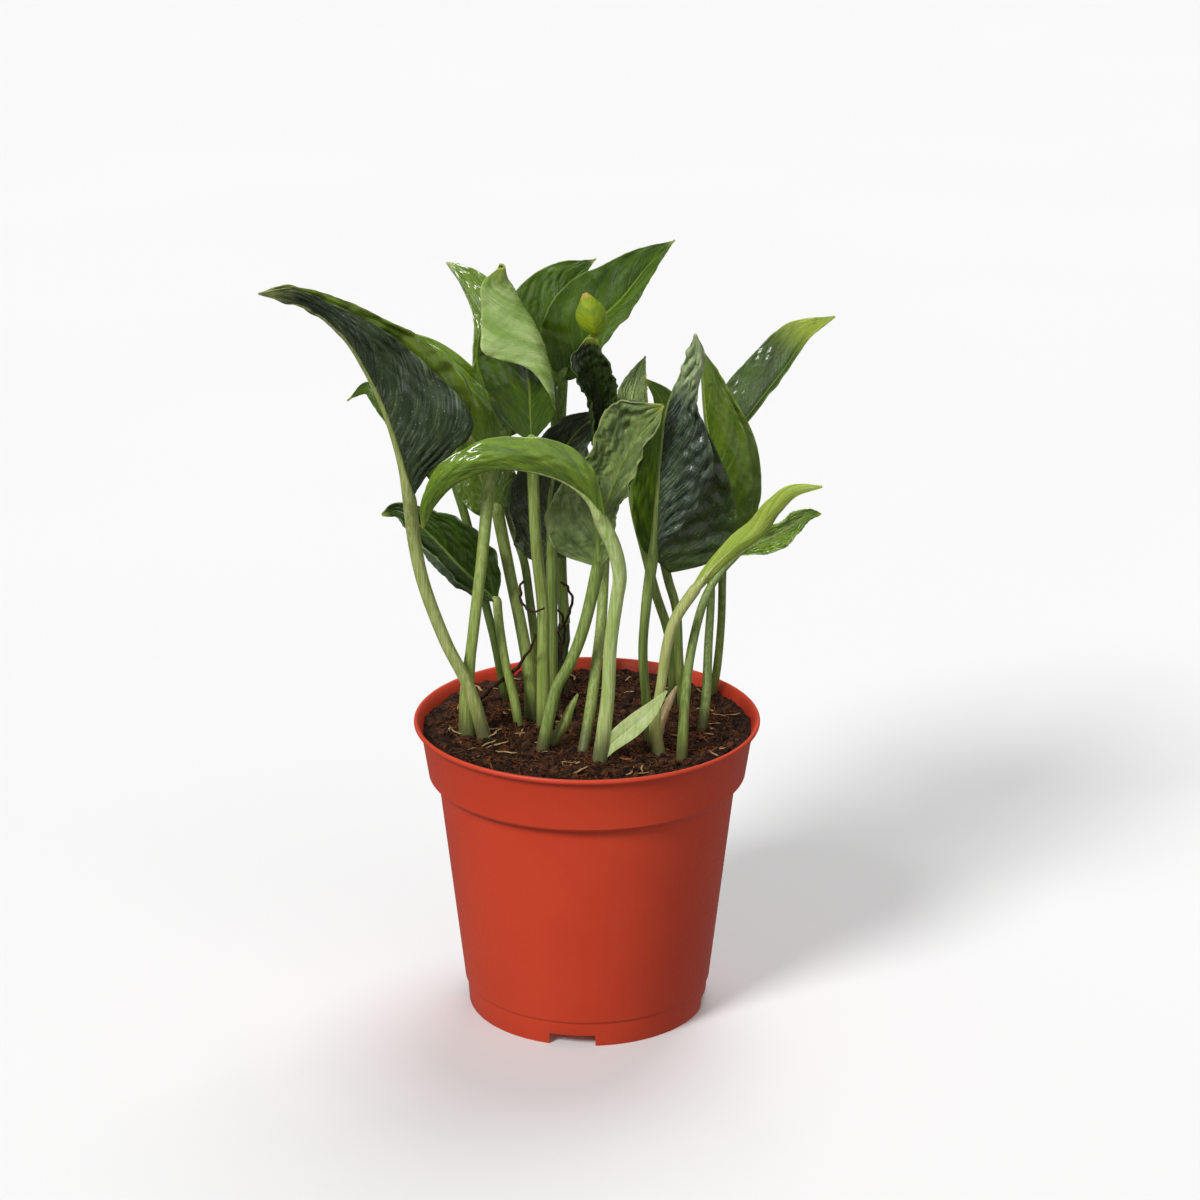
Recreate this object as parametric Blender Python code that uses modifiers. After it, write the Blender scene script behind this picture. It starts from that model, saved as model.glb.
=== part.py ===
"""Potted pothos plant: a nursery pot, its soil, and twenty leaves, each on its own stalk.

Run it with: blender --background --python part.py

Blender's unit is the metre and +Z is up. The ground is z = 0, and the world's origin is
under the middle of the plant's bounding box. Every size and place below is in millimetres,
measured from the foot of the pot's axis, and MM turns it into metres.

A leaf is a sheet bent about its midrib. Its halves leave the midrib at angles that are
measured about it: 0 is to the right as seen from the front, 90 is towards the front and
180 is to the left. Each angle is given at the leaf's base, middle and tip, and a curl is
how much further the half has turned by its margin.
"""

import math

import bmesh
import bpy
import numpy as np

MM = 0.001
GAP = 0.3  # between pieces that touch
AXIS_X = 8.0  # the pot's axis, from the middle of the bounding box
AXIS_Y = -1.6
FRONT = np.array([0.0, -0.946, 0.325])

# Pot
POT_HEIGHT = 106.0
RIM_RADIUS = 60.0
BASE_RADIUS = 42.0
FOOT_RING = 1.6  # width of the ring that the pot stands on
FLOOR_UNDERSIDE = 4.0
FLOOR_TOP = 5.5
NOTCH_WIDTH = 16.0
NOTCH_HEIGHT = 4.0
NOTCH_ANGLES = (-97.0, -7.0, 83.0, 173.0)  # in plan, from +X
DRAIN_COUNT = 6
DRAIN_RADIUS = 4.0
DRAIN_CIRCLE = 26.0
POT_STEPS = 48

# Soil: radius and height of its top, from the middle to the edge
SOIL_TOP = [(0.0, 104.0), (18.0, 103.8), (34.0, 103.2), (48.0, 101.8), (55.3, 101.2)]
SOIL_STEPS = 32

# Leaves
BLADE_THICKNESS = 0.9
BLADE_ROWS = 10
BLADE_COLUMNS = 8  # both halves together
MARGIN_MIN = 0.3  # half width left at the very base and tip
STALK_SEGMENTS = 8
STALK_CLEARANCE = 1.2  # from a stalk's end to its blade

FINISHES = {
    "pot": ((0.560, 0.072, 0.024), 0.45),
    "soil": ((0.030, 0.014, 0.008), 0.95),
    "green": ((0.075, 0.180, 0.020), 0.32),
    "dark": ((0.022, 0.050, 0.026), 0.40),
    "pale": ((0.200, 0.330, 0.085), 0.35),
    "stalk": ((0.190, 0.290, 0.095), 0.45),
    "sheath": ((0.420, 0.480, 0.240), 0.55),
    "dry": ((0.160, 0.075, 0.035), 0.85),
}

# Each leaf's midrib runs from the blade's base to its tip. width is the half width of the
# left and the right half, taper is how early each narrows towards the tip, and lobe is how
# far its lower corners hang back past the base. The stalk runs from the soil to the blade.
LEAVES = {
    "left_tall": {
        "midrib": [(-59, -16, 189), (-62, -17, 204), (-66, -19, 219), (-72, -23, 235),
                   (-79, -30, 249), (-89, -39, 260), (-103, -52, 268)],
        "width": (26, 25), "taper": (1.8, 1.8), "lobe": 5,
        "left": (-25, -20, -30), "left_curl": (10, 30, 0),
        "right": (40, 40, 20), "right_curl": (-30, -60, -30),
        "stalk": [(-34, -14), (-40, -14, 121), (-48, -13, 138), (-55, -12, 158), (-58, -12, 174)],
        "radius": (2.6, 2.1, 2.2, 2.4), "finish": "dark",
    },
    "left_green": {
        "midrib": [(-33, 8, 194), (-37, 8, 200), (-42, 9, 207), (-49, 10, 215), (-58, 12, 226),
                   (-72, 15, 235), (-88, 20, 242)],
        "width": (18, 15), "taper": (1.4, 1.4), "lobe": 3,
        "left": (-25, -20, -20), "left_curl": (0, 10, 0),
        "right": (40, 35, 20), "right_curl": (-30, -50, -30),
        "stalk": [(-41, -9), (-41, -9, 119), (-39, -8, 137), (-36, -5, 161), (-34, 2, 180)],
        "radius": (3.4, 1.9, 2.0, 2.2), "finish": "pale",
    },
    "hooded": {
        "midrib": [(-19, 2, 204), (-20, 0, 223), (-22, -3, 240), (-25, -6, 255),
                   (-27, -11, 265), (-27, -16, 269)],
        "width": (13, 25), "taper": (0.9, 0.7), "lobe": 2,
        "left": (180, 170, 150), "left_curl": (0, 0, 30),
        "right": (40, 0, 0), "right_curl": (30, 185, 200),
        "stalk": [(-15, -4), (-15, -4, 124), (-15, -3, 146), (-17, -2, 167), (-18, 0, 188)],
        "radius": (2.6, 2.1, 2.0, 2.0), "finish": "pale",
    },
    "arched": {
        "midrib": [(0, -41, 196), (-6, -45, 203), (-17, -49, 208), (-29, -51, 210),
                   (-41, -50, 206), (-49, -47, 197), (-52, -45, 188)],
        "width": (13, 13), "taper": (1.15, 1.15), "lobe": 2,
        "left": (-40, -40, -40), "left_curl": (0, 0, 0),
        "right": (60, 60, 60), "right_curl": (-60, -90, -60),
        "stalk": [(4, -34), (7, -35, 125), (8, -36, 145), (10, -37, 161), (11, -38, 170),
                  (9, -39, 180), (5, -40, 188)],
        "radius": (2.8, 2.3, 2.3, 2.6), "finish": "green",
    },
    "centre_pouch": {
        "midrib": [(4, -21, 168), (5, -22, 183), (10, -24, 199), (16, -27, 213),
                   (25, -31, 226)],
        "width": (24, 12), "taper": (0.65, 0.9), "lobe": 3,
        "left": (195, 185, 150), "left_curl": (-30, -30, 0),
        "right": (60, 50, 20), "right_curl": (0, 0, 0),
        "stalk": [(-16, -27), (-11, -25, 123), (-6, -24, 133), (-2, -23, 143), (1, -22, 154)],
        "radius": (2.3, 1.9, 2.0, 2.2), "finish": "dark",
    },
    "centre_back": {
        "midrib": [(-12, 11, 161), (-13, 12, 173), (-12, 13, 185), (-8, 13, 197), (-2, 12, 206),
                   (8, 10, 213)],
        "width": (15, 13), "taper": (1.15, 1.15), "lobe": 4,
        "left": (180, 180, 170), "left_curl": (-40, -40, -20),
        "right": (0, 0, 0), "right_curl": (20, 20, 20),
        "stalk": [(-11, 13), (-12, 11, 117), (-12, 11, 137)],
        "radius": (2.3, 1.9, 1.8, 2.2), "finish": "dark",
    },
    "back_right": {
        "midrib": [(-8, 15, 224), (-2, 17, 232), (4, 20, 241), (12, 25, 248), (21, 31, 258),
                   (30, 39, 265)],
        "width": (17, 9), "taper": (1.15, 1.15), "lobe": 3,
        "left": (180, 175, 180), "left_curl": (-20, -10, 0),
        "right": (50, 55, 50), "right_curl": (-20, -20, -20),
        "stalk": [(-8, 30, 129.5), (-9, 29, 149), (-9, 26, 176), (-9, 21, 203)],
        "radius": (2.0, 1.8, 1.8, 1.8), "finish": "green",
    },
    "back_middle": {
        "midrib": [(-12, 29, 217), (-12, 31, 230), (-11, 35, 240), (-6, 41, 249), (3, 50, 256)],
        "width": (18, 6), "taper": (1.15, 1.15), "lobe": 3,
        "left": (180, 175, 180), "left_curl": (-20, -10, 0),
        "right": (10, 10, 10), "right_curl": (0, 0, 0),
        "stalk": [(-15, 33), (-16, 31, 138), (-14, 32, 167), (-11, 31, 196)],
        "radius": (2.0, 1.6, 1.6), "finish": "green",
    },
    "back_left": {
        "midrib": [(-29, 36, 197), (-30, 38, 210), (-33, 42, 226), (-37, 48, 238),
                   (-49, 57, 253)],
        "width": (10, 13), "taper": (2.0, 0.7), "lobe": 3,
        "left": (170, 175, 180), "left_curl": (-10, -10, 0),
        "right": (10, 10, 10), "right_curl": (0, 0, 0),
        "stalk": [(-16, 29), (-18, 22, 124), (-20, 24, 139), (-22, 27, 153), (-26, 30, 165),
                  (-30, 34, 181)],
        "radius": (1.8, 1.5, 1.5), "finish": "green",
    },
    "spoon_tip": {
        "midrib": [(6, 2, 203), (4, 1, 213), (2, -2, 225), (0, -6, 236), (0, -10, 245),
                   (-1, -19, 259)],
        "widths": (3, 11, 10, 9, 9, 7, 4, 5, 6, 5, 1),
        "left": (180, 180, 180), "left_curl": (-150, -200, -60),
        "right": (0, 0, 0), "right_curl": (10, 120, 60),
        "stalk": [(-2, -28), (1, -22, 115), (3, -17, 129), (5, -11, 145), (6, -4, 164), (7, 0, 184)],
        "radius": (2.0, 1.8, 1.8), "finish": "dark",
    },
    "small_back": {
        "midrib": [(14, 17, 202), (15, 19, 212), (17, 23, 220), (20, 28, 227)],
        "width": (6, 6), "taper": (1.15, 1.15), "lobe": 0,
        "left": (180, 170, 180), "left_curl": (0, -10, 0),
        "right": (20, 20, 20), "right_curl": (0, 0, 0),
        "stalk": [(30, 21), (30, 20, 118), (28, 20, 131), (24, 19, 144), (20, 18, 160),
                  (16, 17, 178)],
        "radius": (1.8, 1.6, 1.5), "finish": "dark",
    },
    "right_inner": {
        "midrib": [(26, 6, 162), (24, 7, 179), (25, 9, 195), (27, 12, 208), (25, 14, 216),
                   (19, 16, 223)],
        "width": (9, 16), "taper": (1.15, 1.15), "lobe": 3,
        "left": (175, 175, 175), "left_curl": (-20, -20, 0),
        "right": (5, 5, 5), "right_curl": (0, 0, 0),
        "stalk": [(34, 11), (32, 9, 122), (31, 8, 141), (28, 7, 153)],
        "radius": (1.8, 1.6, 1.6), "finish": "green",
    },
    "right_dark": {
        "midrib": [(22, -19, 169), (23, -20, 183), (24, -21, 198), (25, -22, 212),
                   (27, -24, 224), (31, -28, 236), (35, -36, 251)],
        "width": (26, 21), "taper": (1.3, 1.3), "lobe": 3,
        "left": (-20, -20, -20), "left_curl": (0, 0, 0),
        "right": (40, 40, 20), "right_curl": (-50, -60, -30),
        "stalk": [(22, -20), (20, -20, 121), (19, -20, 137), (20, -20, 153)],
        "radius": (2.0, 1.6, 1.6, 2.0), "finish": "dark",
    },
    "right_green": {
        "midrib": [(47, 15, 163), (43, 14, 178), (42, 14, 196), (40, 15, 211), (39, 17, 224),
                   (38, 20, 233)],
        "width": (18, 15), "taper": (1.0, 1.0), "lobe": 5,
        "left": (-20, -20, -10), "left_curl": (10, 20, 0),
        "right": (30, 30, 20), "right_curl": (-30, -50, -30),
        "stalk": [(44, 31), (46, 28, 114), (47, 23, 132), (47, 18, 149)],
        "radius": (1.6, 1.4, 1.4), "finish": "green",
    },
    "far_right": {
        "midrib": [(44, 34, 183), (52, 37, 198), (60, 42, 208), (70, 48, 217), (79, 55, 225),
                   (87, 63, 231)],
        "width": (17, 9), "taper": (0.9, 1.15), "lobe": 0,
        "left": (190, 185, 180), "left_curl": (10, 0, 0),
        "right": (110, 120, 90), "right_curl": (0, 0, 0),
        "stalk": [(39, -6), (41, -3, 113), (42, 6, 130), (43, 14, 145), (43, 24, 162)],
        "radius": (1.8, 1.4, 1.4), "finish": "green",
    },
    "low_rolled": {
        "midrib": [(36, -32, 163), (42, -33, 171), (49, -35, 179), (56, -38, 186),
                   (61, -41, 194), (67, -45, 201), (76, -50, 204)],
        "width": (5, 7), "taper": (0.5, 0.5), "lobe": 0,
        "left": (180, 180, 180), "left_curl": (-90, -120, -60),
        "right": (0, 0, 0), "right_curl": (60, 140, 60),
        "stalk": [(25, -27), (23, -28, 113), (25, -29, 128), (27, -30, 143), (30, -31, 153)],
        "radius": (2.7, 1.6, 1.8, 2.0), "finish": "pale",
    },
    "low_crumpled": {
        "midrib": [(51, -15, 170), (57, -14, 173), (63, -12, 175), (68, -10, 178),
                   (79, -6, 180)],
        "width": (5, 4), "taper": (0.6, 0.6), "lobe": 0,
        "left": (160, 160, 160), "left_curl": (0, -20, 0),
        "right": (20, 20, 20), "right_curl": (0, 0, 0),
        "stalk": [(32, -31), (33, -29, 121), (35, -25, 138), (39, -21, 154), (44, -18, 163)],
        "radius": (2.0, 1.6, 1.5, 1.2), "finish": "dark",
    },
    "low_left": {
        "midrib": [(-31, 6, 146), (-37, 8, 152), (-45, 11, 160), (-53, 14, 168), (-60, 18, 173),
                   (-64, 20, 176), (-70, 22, 171)],
        "width": (11, 11), "taper": (1.3, 1.3), "lobe": 2,
        "left": (170, 165, 160), "left_curl": (-20, -20, 0),
        "right": (10, 15, 20), "right_curl": (20, 30, 40),
        "stalk": [(-23, -3), (-25, -2, 112), (-28, 0, 125), (-30, 3, 137)],
        "radius": (1.8, 1.5, 1.6), "finish": "green",
    },
    "far_left": {
        "midrib": [(-46, 30, 181), (-51, 33, 191), (-60, 37, 200), (-71, 42, 208),
                   (-77, 45, 211), (-84, 47, 206)],
        "width": (9, 9), "taper": (1.3, 1.3), "lobe": 3,
        "left": (180, 180, 180), "left_curl": (0, 0, 0),
        "right": (0, 0, 0), "right_curl": (0, 0, 0),
        "stalk": [(-28, 23), (-32, 21, 124), (-35, 22, 137), (-38, 24, 151), (-42, 27, 168)],
        "radius": (1.8, 1.5, 1.6), "finish": "green",
    },
    "left_inner": {
        "midrib": [(-31, 19, 175), (-36, 22, 183), (-39, 25, 192), (-41, 29, 201),
                   (-42, 33, 209)],
        "width": (9, 12), "taper": (1.15, 1.15), "lobe": 3,
        "left": (180, 180, 180), "left_curl": (0, 0, 0),
        "right": (0, 0, 0), "right_curl": (0, 0, 0),
        "stalk": [(-19, 5), (-20, 7, 118), (-23, 10, 136), (-26, 13, 150), (-29, 16, 165)],
        "radius": (2.8, 2.2, 2.0, 2.2), "finish": "green",
    },
}

# Stems with no leaf of their own. A path whose first point has no height starts on the soil.
STEMS = {
    "vine_stem": {"path": [(-9, 31), (-9, 31, 115), (-8, 30, 128)], "radius": (2.6, 2.4, 2.2),
                  "finish": "stalk"},
    "sheath_front": {"path": [(9, -33), (14, -34, 109), (20, -34, 116), (27, -34, 123)],
                     "radius": (1.8, 1.6, 0.6), "finish": "sheath"},
    "sheath_small": {"path": [(-9, -20), (-7, -20, 110), (-5, -18, 116), (-3, -17, 120)],
                     "radius": (1.4, 1.2, 0.5), "finish": "sheath"},
    "sheath_dry": {"path": [(29, -19), (28, -15, 111), (29, -13, 118), (32, -12, 124)],
                   "radius": (1.6, 1.4, 0.5), "finish": "sheath"},
    "air_root": {"path": [(-30, -22), (-27, -20, 110), (-25, -19, 120), (-22, -18, 130),
                          (-17, -16, 140)], "radius": (0.9, 0.8, 0.6), "finish": "dry"},
}


def clear_scene():
    for thing in list(bpy.data.objects):
        bpy.data.objects.remove(thing, do_unlink=True)


def new_collection(name):
    collection = bpy.data.collections.new(name)
    bpy.context.scene.collection.children.link(collection)
    return collection


def new_material(name, finish):
    colour, roughness = FINISHES[finish]
    material = bpy.data.materials.new(name)
    material.use_nodes = True
    shader = material.node_tree.nodes["Principled BSDF"]
    shader.inputs["Base Color"].default_value = (*colour, 1.0)
    shader.inputs["Roughness"].default_value = roughness
    shader.inputs["Metallic"].default_value = 0.0
    return material


def place(name, data, finish, collection, root):
    """Makes the named piece from its mesh or curve, with its material, under the root empty."""
    piece = bpy.data.objects.new(name, data)
    collection.objects.link(piece)
    piece.parent = root
    data.materials.append(new_material(name, finish))
    return piece


def smooth_path(points, segments):
    """Evenly spaced points along the smooth curve that passes through the given ones."""
    ends = [2 * np.array(points[0]) - points[1], 2 * np.array(points[-1]) - points[-2]]
    knots = np.array([ends[0], *points, ends[1]], float)
    fine = [knots[1]]
    for before, start, end, after in zip(knots[:-3], knots[1:-2], knots[2:-1], knots[3:]):
        for t in np.linspace(0.05, 1.0, 20):
            bend = before - 2.5 * start + 2 * end - 0.5 * after
            twist = 1.5 * (start - end) + 0.5 * (after - before)
            fine.append(start + 0.5 * t * (end - before) + t**2 * bend + t**3 * twist)
    fine = np.array(fine)
    run = np.concatenate([[0.0], np.cumsum(np.linalg.norm(np.diff(fine, axis=0), axis=1))])
    even = np.linspace(0.0, run[-1], segments + 1)
    return np.array([np.interp(even, run, fine[:, axis]) for axis in range(3)]).T


def along(values, u):
    """A value that is given at the base, the middle and the tip, read at u from 0 to 1."""
    base, middle, tip = values
    return base * (1 - u) * (1 - 2 * u) + middle * 4 * u * (1 - u) + tip * u * (2 * u - 1)


def half_width(leaf, side, u):
    """Half the blade's width at u along the midrib, on the left (0) or the right (1)."""
    if "widths" in leaf:
        stations = np.linspace(0.0, 1.0, len(leaf["widths"]))
        return max(float(np.interp(u, stations, leaf["widths"])), MARGIN_MIN)
    taper = leaf["taper"][side]
    widest = 0.5 / (0.5 + taper)
    shape = (1 - u) ** taper * u**0.5 / ((1 - widest) ** taper * widest**0.5)
    return max(leaf["width"][side] * shape, MARGIN_MIN)


def bent_strip(angle, curl, reach):
    """Where a strip of this length ends that leaves at an angle and then curls evenly."""
    if abs(curl) < 0.01:
        return reach * math.cos(angle), reach * math.sin(angle)
    radius = reach / curl
    right = radius * (math.sin(angle + curl) - math.sin(angle))
    front = radius * (math.cos(angle) - math.cos(angle + curl))
    return right, front


def blade_point(leaf, frames, u, across):
    """The point of a blade at u along its midrib and -1 to 1 from left to right margin."""
    centre, forward, right, front = frames(u)
    side = 1 if across > 0 else 0
    width = half_width(leaf, side, u)
    name = ("left", "right")[side]
    reach = abs(across)
    angle = math.radians(along(leaf[name], u))
    curl = math.radians(along(leaf[name + "_curl"], u)) * reach
    out, up = bent_strip(angle, curl, width * reach)
    lobe = leaf.get("lobe", 0) * reach**1.5 * max(1 - 2 * u, 0) ** 1.2
    lobe *= math.sqrt(width / max(leaf.get("width", (width,))))
    return centre + out * right + up * front - lobe * forward


def midrib_frames(leaf):
    """A function that gives the midrib's point, its direction, and its right and front."""
    centres = smooth_path(leaf["midrib"], 4 * BLADE_ROWS)
    forward = np.gradient(centres, axis=0)
    forward /= np.linalg.norm(forward, axis=1)[:, None]
    right = np.cross(forward, FRONT)
    right /= np.linalg.norm(right, axis=1)[:, None]
    front = np.cross(right, forward)

    def frames(u):
        row = round(u * 4 * BLADE_ROWS)
        return centres[row], forward[row], right[row], front[row]

    return frames


def build_blade(name, leaf, collection, root):
    """A flat grid whose points are moved onto the bent blade, thickened into a sheet."""
    bpy.ops.mesh.primitive_grid_add(
        x_subdivisions=BLADE_COLUMNS, y_subdivisions=BLADE_ROWS, size=2.0
    )
    grid = bpy.context.object
    mesh = grid.data
    mesh.name = name
    bpy.data.objects.remove(grid)
    frames = midrib_frames(leaf)
    thickness = []
    for vertex in mesh.vertices:
        u = (vertex.co.y + 1) / 2
        thickness.append(min(1.0, half_width(leaf, 0, u) / 4))
        vertex.co = blade_point(leaf, frames, u, vertex.co.x) * MM
    piece = place(name, mesh, leaf["finish"], collection, root)
    thin = piece.vertex_groups.new(name="thickness")
    for index, share in enumerate(thickness):
        thin.add([index], share, "REPLACE")
    sheet = piece.modifiers.new("Sheet", "SOLIDIFY")
    sheet.thickness = BLADE_THICKNESS * MM
    sheet.offset = 0.0
    sheet.vertex_group = thin.name
    sheet.thickness_vertex_group = 0.35
    mesh.shade_smooth()


def soil_height(x, y):
    radii, heights = zip(*SOIL_TOP)
    return float(np.interp(math.hypot(x, y), radii, heights))


def grounded(path, radius):
    """The path with its first point lifted so that its round foot just clears the soil."""
    start = path[0]
    if len(start) == 3:
        return path
    foot = np.array([start[0], start[1], soil_height(*start)])
    rise = np.array(path[1], float) - foot
    lean = math.hypot(rise[0], rise[1]) / np.linalg.norm(rise)
    foot[2] += GAP + (lean + 0.06) * radius
    return [foot, *path[1:]]


def build_stalk(name, path, radii, finish, collection, root):
    """A round stalk that tapers along a smooth path."""
    points = smooth_path(grounded(path, radii[0]), STALK_SEGMENTS)
    curve = bpy.data.curves.new(name, "CURVE")
    curve.dimensions = "3D"
    curve.bevel_depth = MM
    curve.bevel_resolution = 1
    curve.use_fill_caps = True
    spline = curve.splines.new("POLY")
    spline.points.add(len(points) - 1)
    stations = np.linspace(0.0, STALK_SEGMENTS, len(radii))
    for step, (knot, point) in enumerate(zip(spline.points, points)):
        knot.co = (*(point * MM), 1.0)
        knot.radius = float(np.interp(step, stations, radii))
    place(name, curve, finish, collection, root)


def build_leaves(collection, root):
    for name, leaf in LEAVES.items():
        build_blade("leaf_" + name, leaf, collection, root)
        base = np.array(leaf["midrib"][0], float)
        back = base - leaf["stalk"][-1]
        end = base - STALK_CLEARANCE * back / np.linalg.norm(back)
        path = [*leaf["stalk"], tuple(end)]
        build_stalk("stalk_" + name, path, leaf["radius"], "stalk", collection, root)


def turned(name, profile, steps, finish, collection, root):
    """A solid turned about Z. The profile runs down its outer side, from top to bottom."""
    mesh = bpy.data.meshes.new(name)
    edges = [(index, index + 1) for index in range(len(profile) - 1)]
    mesh.from_pydata([(radius * MM, 0.0, height * MM) for radius, height in profile], edges, [])
    piece = place(name, mesh, finish, collection, root)
    screw = piece.modifiers.new("Turn", "SCREW")
    screw.steps = steps
    screw.render_steps = steps
    screw.use_merge_vertices = True
    screw.merge_threshold = 0.0001
    screw.use_smooth_shade = True
    return piece


def pot_profile():
    inner_foot = BASE_RADIUS - FOOT_RING
    inside = [(0.0, FLOOR_TOP), (41.3, FLOOR_TOP), (49.8, 81.0), (50.2, 82.8), (53.2, 86.8),
              (55.7, 101.5), (57.0, 104.2), (58.2, POT_HEIGHT - 0.4), (58.9, POT_HEIGHT)]
    outside = [(59.6, POT_HEIGHT), (RIM_RADIUS, 105.5), (RIM_RADIUS, 104.6), (58.6, 103.6),
               (57.4, 101.5), (55.4, 87.5), (54.8, 86.2), (51.8, 82.3), (51.4, 81.0),
               (43.3, 9.5), (42.6, 8.6), (BASE_RADIUS, 0.0)]
    underside = [(inner_foot, 0.0), (inner_foot, FLOOR_UNDERSIDE), (0.0, FLOOR_UNDERSIDE)]
    return inside + outside + underside


def cutter(name, mesh_maker, location, turn, cutters, root):
    """A hidden block that a Boolean takes away from the pot."""
    shape = bmesh.new()
    mesh_maker(shape)
    mesh = bpy.data.meshes.new(name)
    shape.to_mesh(mesh)
    shape.free()
    block = bpy.data.objects.new(name, mesh)
    cutters.objects.link(block)
    block.parent = root
    block.location = [value * MM for value in location]
    block.rotation_euler.z = turn
    block.hide_render = True
    block.display_type = "WIRE"
    return block


def notch_shape(shape):
    size = (8 * MM, NOTCH_WIDTH * MM, 2 * NOTCH_HEIGHT * MM)
    bmesh.ops.create_cube(shape, size=1.0)
    bmesh.ops.scale(shape, vec=size, verts=shape.verts)


def drain_shape(shape):
    bmesh.ops.create_cone(
        shape, cap_ends=True, segments=16, radius1=DRAIN_RADIUS * MM,
        radius2=DRAIN_RADIUS * MM, depth=4 * MM,
    )


def build_pot(collection, cutters, root):
    pot = turned("pot", pot_profile(), POT_STEPS, "pot", collection, root)
    middle = BASE_RADIUS - FOOT_RING / 2
    holes = []
    for number, degrees in enumerate(NOTCH_ANGLES):
        angle = math.radians(degrees)
        spot = (middle * math.cos(angle), middle * math.sin(angle), 0.0)
        holes.append(cutter(f"notch_{number}", notch_shape, spot, angle, cutters, root))
    for number in range(DRAIN_COUNT):
        angle = math.tau * number / DRAIN_COUNT
        floor = (FLOOR_UNDERSIDE + FLOOR_TOP) / 2
        spot = (DRAIN_CIRCLE * math.cos(angle), DRAIN_CIRCLE * math.sin(angle), floor)
        holes.append(cutter(f"drain_{number}", drain_shape, spot, angle, cutters, root))
    for hole in holes:
        cut = pot.modifiers.new(hole.name, "BOOLEAN")
        cut.operation = "DIFFERENCE"
        cut.object = hole


def build_soil(collection, root):
    side = [(52.9, 87.2), (49.8, 83.1), (49.5, 81.0), (41.0, FLOOR_TOP + GAP)]
    profile = SOIL_TOP + side + [(0.0, FLOOR_TOP + GAP)]
    turned("soil", profile, SOIL_STEPS, "soil", collection, root)


def main():
    clear_scene()
    plant = new_collection("potted_pothos_plant")
    cutters = new_collection("cutters")
    root = bpy.data.objects.new("pot_axis", None)
    plant.objects.link(root)
    root.location = (AXIS_X * MM, AXIS_Y * MM, 0.0)
    build_pot(plant, cutters, root)
    build_soil(plant, root)
    build_leaves(plant, root)
    for name, stem in STEMS.items():
        build_stalk(name, stem["path"], stem["radius"], stem["finish"], plant, root)


main()
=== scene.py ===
import math

import bpy
import numpy as np
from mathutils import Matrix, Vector

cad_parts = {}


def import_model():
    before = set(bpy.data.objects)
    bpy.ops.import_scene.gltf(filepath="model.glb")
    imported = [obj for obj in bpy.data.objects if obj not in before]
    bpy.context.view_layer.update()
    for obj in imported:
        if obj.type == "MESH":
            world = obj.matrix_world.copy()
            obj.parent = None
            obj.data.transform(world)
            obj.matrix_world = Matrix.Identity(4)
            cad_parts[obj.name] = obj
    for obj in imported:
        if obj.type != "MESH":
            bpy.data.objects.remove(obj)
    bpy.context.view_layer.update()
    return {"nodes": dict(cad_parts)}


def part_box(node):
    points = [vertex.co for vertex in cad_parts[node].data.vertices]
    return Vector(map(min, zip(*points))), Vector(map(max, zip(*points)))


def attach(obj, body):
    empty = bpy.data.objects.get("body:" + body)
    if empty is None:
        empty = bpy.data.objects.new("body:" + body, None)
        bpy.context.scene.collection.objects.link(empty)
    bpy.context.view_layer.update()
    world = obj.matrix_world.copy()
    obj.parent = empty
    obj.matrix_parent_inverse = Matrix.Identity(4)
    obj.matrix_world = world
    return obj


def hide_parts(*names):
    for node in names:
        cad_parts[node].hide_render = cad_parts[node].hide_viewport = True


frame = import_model()
print("frame loaded:", len(frame["nodes"]), "nodes")

# Places are in millimetres from the foot of the pot's own axis, which the frame gives.
mm = 0.001
potLow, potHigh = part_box("pot")
potFoot = np.array([(potLow.x + potHigh.x) / 2, (potLow.y + potHigh.y) / 2, 0.0])
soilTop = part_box("soil")[1].z / mm
frontWay = np.array([0.0, -0.946, 0.325])  # towards the viewer


# Small helpers

def world(points):
    return np.asarray(points, float) * mm + potFoot


def dropSelection():
    if bpy.context.object and bpy.context.object.mode != "OBJECT":
        bpy.ops.object.mode_set(mode="OBJECT")
    bpy.ops.object.select_all(action="DESELECT")


def choose(piece):
    dropSelection()
    piece.select_set(True)
    bpy.context.view_layer.objects.active = piece


def settle(piece, smoothAngle=None):
    choose(piece)
    for modifier in list(piece.modifiers):
        bpy.ops.object.modifier_apply(modifier=modifier.name)
    bpy.ops.object.transform_apply(location=True, rotation=True, scale=True)
    if smoothAngle is None:
        bpy.ops.object.shade_smooth()
    else:
        bpy.ops.object.shade_smooth_by_angle(angle=math.radians(smoothAngle))


def newObject(name, data):
    item = bpy.data.objects.new(name, data)
    bpy.context.scene.collection.objects.link(item)
    return item


def finishPiece(piece, name, materials, slotName, *nodes):
    piece.name = name
    piece.data.name = name
    for material in materials:
        piece.data.materials.append(material)
    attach(piece, "root")
    if nodes:
        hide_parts(*nodes)
    return piece


def pieceFrom(name, points, faces, kinds, materials, slotName):  # kinds is each face's material
    mesh = bpy.data.meshes.new(name)
    mesh.from_pydata([tuple(point) for point in points], [], faces)
    piece = finishPiece(newObject(name, mesh), name, materials, slotName)
    mesh.polygons.foreach_set("material_index", kinds)
    mesh.update()
    return piece


def editAll(piece):
    choose(piece)
    bpy.ops.object.mode_set(mode="EDIT")
    bpy.ops.mesh.select_all(action="SELECT")


def extrudeRings(radius, height, rings):  # in edit mode, from a selected ring of that radius and height
    for nextRadius, nextHeight in rings:
        rise = (0.0, 0.0, (nextHeight - height) * mm)
        bpy.ops.mesh.extrude_region_move(TRANSFORM_OT_translate={"value": rise})
        grow = nextRadius / radius
        bpy.ops.transform.resize(value=(grow, grow, 1.0), center_override=world((0, 0, nextHeight)))
        radius, height = nextRadius, nextHeight


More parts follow.
